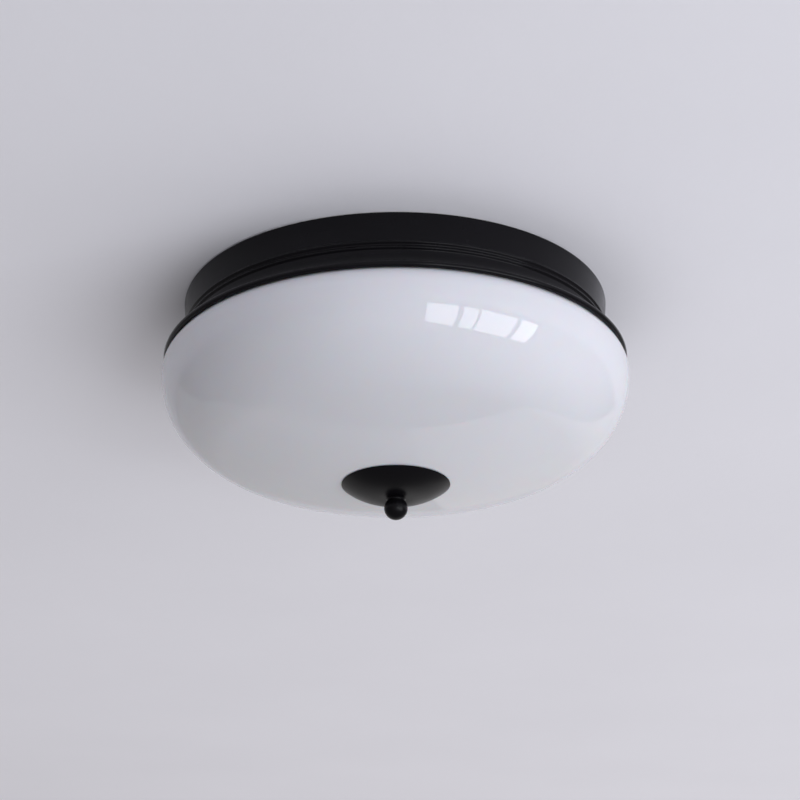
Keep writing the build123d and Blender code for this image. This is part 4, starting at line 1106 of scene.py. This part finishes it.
class CEILING_LIGHT_OT_wiring(PieceOperator, bpy.types.Operator):
    """Makes the terminal block, its screws, the earth screw and the cable grommet"""
    bl_idname = "ceiling_light.wiring"
    bl_label = "Terminals And Earth"

    HEIGHT = 9 * MM                         # of the terminal block's bar

    def make(self):
        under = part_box("terminal_block")[1].z
        out = Vector((*polar(1, TERMINAL_AZIMUTH), 0))
        across = Vector((*polar(1, TERMINAL_AZIMUTH + 90), 0))
        place = Matrix((across, out, Vector((0, 0, -1)))).transposed().to_4x4()
        place = Matrix.Translation((*polar(SERVICE_RADIUS, TERMINAL_AZIMUTH), under)) @ place
        self.terminals(place)
        self.fixings(place)
        self.earth()
        self.grommet()

    def terminals(self, place):
        """The block with its three towers, wire holes and clamping screws."""
        pole, height = TERMINAL_POLE, self.HEIGHT
        block = mesh_object("terminal_block_body",
                            *moved(rounded_block(3 * pole, 17 * MM, 0.0, height, 2 * MM), place))
        tower = [(2.6, 5.0), (3.2, 5.0), (3.7, 4.9), (4.0, 4.6), (4.0, -0.5), (2.6, -0.5)]
        tower = turned([(r * MM, height + z * MM) for r, z in tower], 48)
        post = turned([(0.0, height + 2.5 * MM), (2.3 * MM, height + 2.5 * MM), (2.55 * MM, height + 2.25 * MM),
                       (2.55 * MM, height), (0.0, height)], 40, closed=False)
        blade = prism(rectangle(-2.7 * MM, -0.4 * MM, 2.7 * MM, 0.4 * MM), height + 1.5 * MM, height + 4 * MM)
        wire_hole = turned(cylinder(1.9 * MM, -10 * MM, 10 * MM), 32, closed=False)
        slit = prism(rectangle(-0.6 * MM, 1.5 * MM, 0.6 * MM, 9 * MM), 1.2 * MM, height + 1 * MM)
        screw_hole = turned(cylinder(1.5 * MM, -1 * MM, height + 1 * MM), 32, closed=False)
        cuts, towers, posts, drivers = [], [], [], []
        for k in (-1, 0, 1):
            spot = place @ Matrix.Translation((k * pole, 3 * MM, 0))
            towers.append(moved(tower, spot))
            posts.append(moved(post, spot))
            drivers.append(moved(blade, spot @ Matrix.Rotation(math.radians(20 + 47 * k), 4, "Z")))
            cuts.append(moved(wire_hole, place @ Matrix.Translation((k * pole, 0, 5.2 * MM))
                              @ Matrix.Rotation(math.radians(90), 4, "X")))
        for k in (-0.5, 0.5):
            cuts.append(moved(slit, place @ Matrix.Translation((k * pole, 0, 0))))
            cuts.append(moved(screw_hole, place @ Matrix.Translation((k * pole, -5 * MM, 0))))
        cut(block, mesh_object("terminal_cut", *joined(*cuts)))
        tops = mesh_object("terminal_towers", *joined(*towers))
        dress(block, "canopy", "terminal_plastic", "terminal_block", materials=[finish("terminal")])
        dress(tops, "canopy", "terminal_plastic", materials=[finish("terminal")])
        clamp = mesh_object("terminal_clamp_screws", *joined(*posts))
        cut(clamp, mesh_object("clamp_driver", *joined(*drivers)))
        dress(clamp, "canopy", "brass", "terminal_screws", materials=[finish("brass")])

    def fixings(self, place):
        """The two screws that hold the block."""
        height = self.HEIGHT
        pin = turned([(0.0, height + 1.6 * MM), (1.3 * MM, height + 1.5 * MM), (2.1 * MM, height + 1.0 * MM),
                      (2.4 * MM, height + 0.2 * MM), (2.3 * MM, height), (1.45 * MM, height), (1.45 * MM, -2 * MM),
                      (0.0, -2 * MM)], 40, closed=False)
        blade = prism(rectangle(-1.5 * MM, -0.3 * MM, 1.5 * MM, 0.3 * MM), height + 0.7 * MM, height + 3 * MM)
        spots = [place @ Matrix.Translation((k * TERMINAL_POLE, -5 * MM, 0)) for k in (-0.5, 0.5)]
        screws = mesh_object("terminal_fixing_screws", *joined(*[moved(pin, spot) for spot in spots]), crease=60.0)
        cut(screws, mesh_object("fixing_driver", *joined(*[moved(blade, spot) for spot in spots])))
        dress(screws, "canopy", "steel_plated", "terminal_fixings", materials=[finish("zinc")])

    def earth(self):
        """The earth screw and its toothed washer."""
        middle = polar(SERVICE_RADIUS, EARTH_AZIMUTH)
        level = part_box("earth_screw")[1].z - SCREW_REACH
        screw = cross_head_screws("earth_cross_screw", [middle], level, 40.0)
        dress(screw, "canopy", "brass", "earth_screw", materials=[finish("brass")])
        top, bore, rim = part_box("earth_washer")[1].z, M4_NUT_BORE, 7.0 * MM

        def teeth(radius, along, turn):
            return radius - (0.9 * MM * (0.5 + 0.5 * math.cos(14 * turn)) ** 3 if radius > 6 * MM else 0.0)

        ring = softened([(bore, top), (rim, top), (rim, top - 1.5 * MM), (bore, top - 1.5 * MM)], 0.25 * MM)
        washer = turned(ring, 168, teeth, place=Matrix.Translation((*middle, 0)))
        piece("earth_star_washer", washer, "canopy", "brass", "brass", "earth_washer")

    def grommet(self):
        """The soft ring that lines the cable's hole, with a groove for the pan's plate."""
        low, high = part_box("entry_grommet")
        bore, groove, flange = 5.0 * MM, 7.45 * MM, 10.7 * MM
        plate_low, plate_high = -3.3 * MM, -2.3 * MM
        ring = [(bore, low.z), (flange, low.z), (flange, plate_low), (groove, plate_low),
                (groove, plate_high), (flange, plate_high), (flange, high.z), (bore, high.z)]
        spot = Matrix.Translation((*polar(SERVICE_RADIUS, ENTRY_AZIMUTH), 0))
        piece("cable_grommet", turned(softened(ring, 0.5 * MM), 96, place=spot), "canopy", "gasket_rubber",
              "silicone", "entry_grommet")


class CEILING_LIGHT_OT_seals(PieceOperator, bpy.types.Operator):
    """Moulds the soft rings: rim gasket, bush in the bowl's hole and seal inside the cap"""
    bl_idname = "ceiling_light.seals"
    bl_label = "Soft Rings"

    def make(self):
        s = sizes()
        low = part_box("rim_gasket")[0]
        cove = (s.foot_radius + s.cove_radius, -s.cove_depth)
        reach = s.cove_radius + s.sheet + 0.1 * MM
        inner, outer = s.bowl_rim - 1.0 * MM, cove[0] - s.bead_radius - 0.5 * MM
        top = [(radius, cove[1] - math.sqrt(reach ** 2 - (cove[0] - radius) ** 2))
               for radius in levels(outer, inner, 0.5 * MM)]
        ring = softened(top + [(inner, low.z), (outer, low.z)], 0.3 * MM)
        piece("rim_gasket_ring", turned(ring, 192), "canopy", "gasket_rubber", "silicone", "rim_gasket")
        low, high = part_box("hole_bush")
        inner, tube, flange, step = 4.85 * MM, 6.85 * MM, 11.0 * MM, low.z + 1.0 * MM
        ring = softened([(inner, high.z), (tube, high.z), (tube, step), (flange, step), (flange, low.z),
                         (inner, low.z)], 0.35 * MM)
        piece("glass_hole_bush", turned(ring, 96), "shade", "gasket_rubber", "silicone", "hole_bush")
        paint_nodes(finish("silicone"), "cap_seal")


class CEILING_LIGHT_OT_stage(PieceOperator, bpy.types.Operator):
    """Sets the painted ceiling, the window-shaped softbox, the pale surroundings and the camera"""
    bl_idname = "ceiling_light.stage"
    bl_label = "Stage"

    def make(self):
        self.ceiling()
        self.window()
        self.fills()
        self.surroundings()
        self.camera()

    def ceiling(self):
        """A round sheet of ceiling with a hole inside the pan's wall, facing down."""
        rings = [0.158, 0.2, 0.4, 1.0, 2.5, 6.0]
        count, level = 96, 0.4 * MM
        verts, faces = [], []
        for radius in rings:
            for i in range(count):
                turn = 2 * math.pi * i / count
                verts.append((radius * math.cos(turn), radius * math.sin(turn), level))
        for row in range(len(rings) - 1):
            for i in range(count):
                j = (i + 1) % count
                faces.append((row * count + i, row * count + j, (row + 1) * count + j, (row + 1) * count + i))
        mesh = bpy.data.meshes.new("ceiling_plane")
        mesh.from_pydata(verts, [], faces)
        plane = bpy.data.objects.new("ceiling_plane", mesh)
        bpy.context.scene.collection.objects.link(plane)
        if mesh.polygons[0].normal.z > 0:
            mesh.flip_normals()
        mesh.materials.append(finish("ceiling"))

    def window(self):
        """Four panes of a window, as area lamps on a wall to the right of the camera."""
        distance, radiance = sizes().window_distance, 5.2
        outward = Vector((*polar(1.0, -50), 0))
        along = Vector((-outward.y, outward.x, 0))
        # left edge, right edge (both in window distances) and share of the radiance
        panes = ((-0.489, -0.212, 0.79), (-0.168, -0.045, 0.80), (-0.022, 0.287, 0.80), (0.333, 0.508, 1.02))
        top, bottom = -0.125 * distance, -0.615 * distance
        for number, (left, right, gain) in enumerate(panes, start=1):
            lamp = bpy.data.lights.new(f"window_pane_{number}", "AREA")
            lamp.shape = "RECTANGLE"
            lamp.size, lamp.size_y = (right - left) * distance, top - bottom
            lamp.color = colours().window
            lamp.energy = radiance * gain * math.pi * lamp.size * lamp.size_y
            pane = bpy.data.objects.new(f"window_pane_{number}", lamp)
            pane.location = (outward + along * (left + right) / 2) * distance + Vector((0, 0, (top + bottom) / 2))
            turn = Matrix((along, Vector((0, 0, 1)), outward)).transposed()
            pane.rotation_euler = turn.to_euler()
            bpy.context.scene.collection.objects.link(pane)

    def fills(self):
        """Soft panels: the light that comes back from the floor and the walls."""
        warm, cool = (1.0, 0.985, 0.99), (0.93, 0.95, 1.0)
        right, front = Vector((*polar(1.0, 30), 0.0)), Vector((*polar(1.0, -40), 0.0))
        # name, width, depth, place, way that it looks away from, radiance, tone, seen in reflections
        panels = (("floor_bounce", 5.0, 5.0, (1.0, 2.5, -1.0), Vector((0, 0, -1)), 0.255, warm, False),
                  ("far_wall_left", 3.68, 3.17, (-1.66, 2.6, -1.615), Vector((0, 1, 0)), 0.27, warm, True),
                  ("far_wall_right", 1.92, 3.17, (1.14, 2.6, -1.615), Vector((0, 1, 0)), 0.46, warm, True),
                  ("near_wall_low", 3.6, 2.3, front * 2.5 - Vector((0, 0, 2.35)), front, 1.66, cool, False),
                  ("near_wall_high", 2.6, 1.97, (0.0, -2.5, -1.015), Vector((0, -1, 0)), 0.30, cool, True),
                  ("side_wall", 2.6, 1.8, right * 2.5 - Vector((0, 0, 1.3)), right, 0.66, cool, False))
        for name, width, depth, place, away, radiance, tone, mirrored in panels:
            lamp = bpy.data.lights.new(name, "AREA")
            lamp.shape, lamp.size, lamp.size_y, lamp.color = "RECTANGLE", width, depth, tone
            lamp.energy = radiance * math.pi * width * depth
            panel = bpy.data.objects.new(name, lamp)
            panel.location = place
            panel.rotation_euler = away.to_track_quat("Z", "Y").to_euler()
            panel.visible_camera, panel.visible_glossy = False, mirrored
            bpy.context.scene.collection.objects.link(panel)

    def surroundings(self):
        """Pale surroundings to the eye and above the ceiling, and an even, dimmer light on all else."""
        world = bpy.data.worlds.new("pale_room")
        bpy.context.scene.world = world
        world.use_nodes = True
        tree = world.node_tree
        plain = tree.nodes["Background"]
        plain.inputs["Color"].default_value = rgba(colours().ambient)
        pale = put(tree, "ShaderNodeBackground", (("Color", rgba(colours().backdrop)),))
        rays = put(tree, "ShaderNodeLightPath")
        seen = put(tree, "ShaderNodeMath", ((0, rays.outputs["Is Camera Ray"]),
                                            (1, rays.outputs["Is Transmission Ray"])), operation="MAXIMUM")
        place = put(tree, "ShaderNodeTexCoord")
        height = put(tree, "ShaderNodeSeparateXYZ", (("Vector", place.outputs["Generated"]),))
        above = put(tree, "ShaderNodeMapRange", (("Value", height.outputs["Z"]), ("From Min", 0.02), ("From Max", 0.1)))
        paler = put(tree, "ShaderNodeMath", ((0, seen.outputs[0]), (1, above.outputs[0])), operation="MAXIMUM")
        mix = put(tree, "ShaderNodeMixShader", ((0, paler.outputs[0]), (1, plain.outputs[0]), (2, pale.outputs[0])))
        tree.links.new(mix.outputs[0], tree.nodes["World Output"].inputs["Surface"])

    def camera(self):
        """The photograph's angle: from below and in front, near side at the top of the frame."""
        tilt, turn, drop, roll = (math.radians(v) for v in (25.76, 0.128, -2.529, -0.204))
        forward = Vector((0, math.cos(tilt), math.sin(tilt)))
        up = Vector((0, -math.sin(tilt), math.cos(tilt)))
        right = Vector((1, 0, 0))
        place = -forward * sizes().camera_distance
        forward = (forward + math.tan(turn) * right + math.tan(drop) * up).normalized()
        right = forward.cross(up).normalized()
        up = right.cross(forward)
        right, up = (math.cos(roll) * right + math.sin(roll) * up, math.cos(roll) * up - math.sin(roll) * right)
        data = bpy.data.cameras.new("view_from_below")
        data.lens, data.sensor_width = 90.0, 36.0
        camera = bpy.data.objects.new("view_from_below", data)
        camera.matrix_world = Matrix.Translation(place) @ Matrix((right, up, -forward)).transposed().to_4x4()
        bpy.context.scene.collection.objects.link(camera)
        bpy.context.scene.camera = camera
        bpy.context.scene.view_settings.view_transform = "Standard"


STEPS = (CEILING_LIGHT_OT_pan, CEILING_LIGHT_OT_bowl, CEILING_LIGHT_OT_cap, CEILING_LIGHT_OT_rod,
         CEILING_LIGHT_OT_strap, CEILING_LIGHT_OT_brackets, CEILING_LIGHT_OT_holders, CEILING_LIGHT_OT_bulbs,
         CEILING_LIGHT_OT_wiring, CEILING_LIGHT_OT_seals, CEILING_LIGHT_OT_stage)


class CEILING_LIGHT_PT_panel(bpy.types.Panel):
    """Lists the steps that build the light"""
    bl_idname = "CEILING_LIGHT_PT_panel"
    bl_label = "Ceiling Light"
    bl_space_type = "VIEW_3D"
    bl_region_type = "UI"
    bl_category = "Ceiling Light"

    def draw(self, context):
        for step in STEPS:
            self.layout.operator(step.bl_idname, text=step.bl_label)
        for title, group in (("Sizes", context.scene.ceiling_light_sizes),
                             ("Colours", context.scene.ceiling_light_colours)):
            box = self.layout.box()
            box.label(text=title)
            for name in group.bl_rna.properties.keys():
                if name not in ("rna_type", "name"):
                    box.prop(group, name)


CLASSES = (CeilingLightSizes, CeilingLightColours, *STEPS, CEILING_LIGHT_PT_panel)


def register():
    for made in CLASSES:
        bpy.utils.register_class(made)
    bpy.types.Scene.ceiling_light_sizes = bpy.props.PointerProperty(type=CeilingLightSizes)
    bpy.types.Scene.ceiling_light_colours = bpy.props.PointerProperty(type=CeilingLightColours)


def unregister():
    del bpy.types.Scene.ceiling_light_colours
    del bpy.types.Scene.ceiling_light_sizes
    for made in reversed(CLASSES):
        bpy.utils.unregister_class(made)


def main():
    """Builds the light and its stage."""
    register()
    for step in STEPS:
        group, name = step.bl_idname.split(".")
        getattr(getattr(bpy.ops, group), name)()


if __name__ == "__main__":
    main()
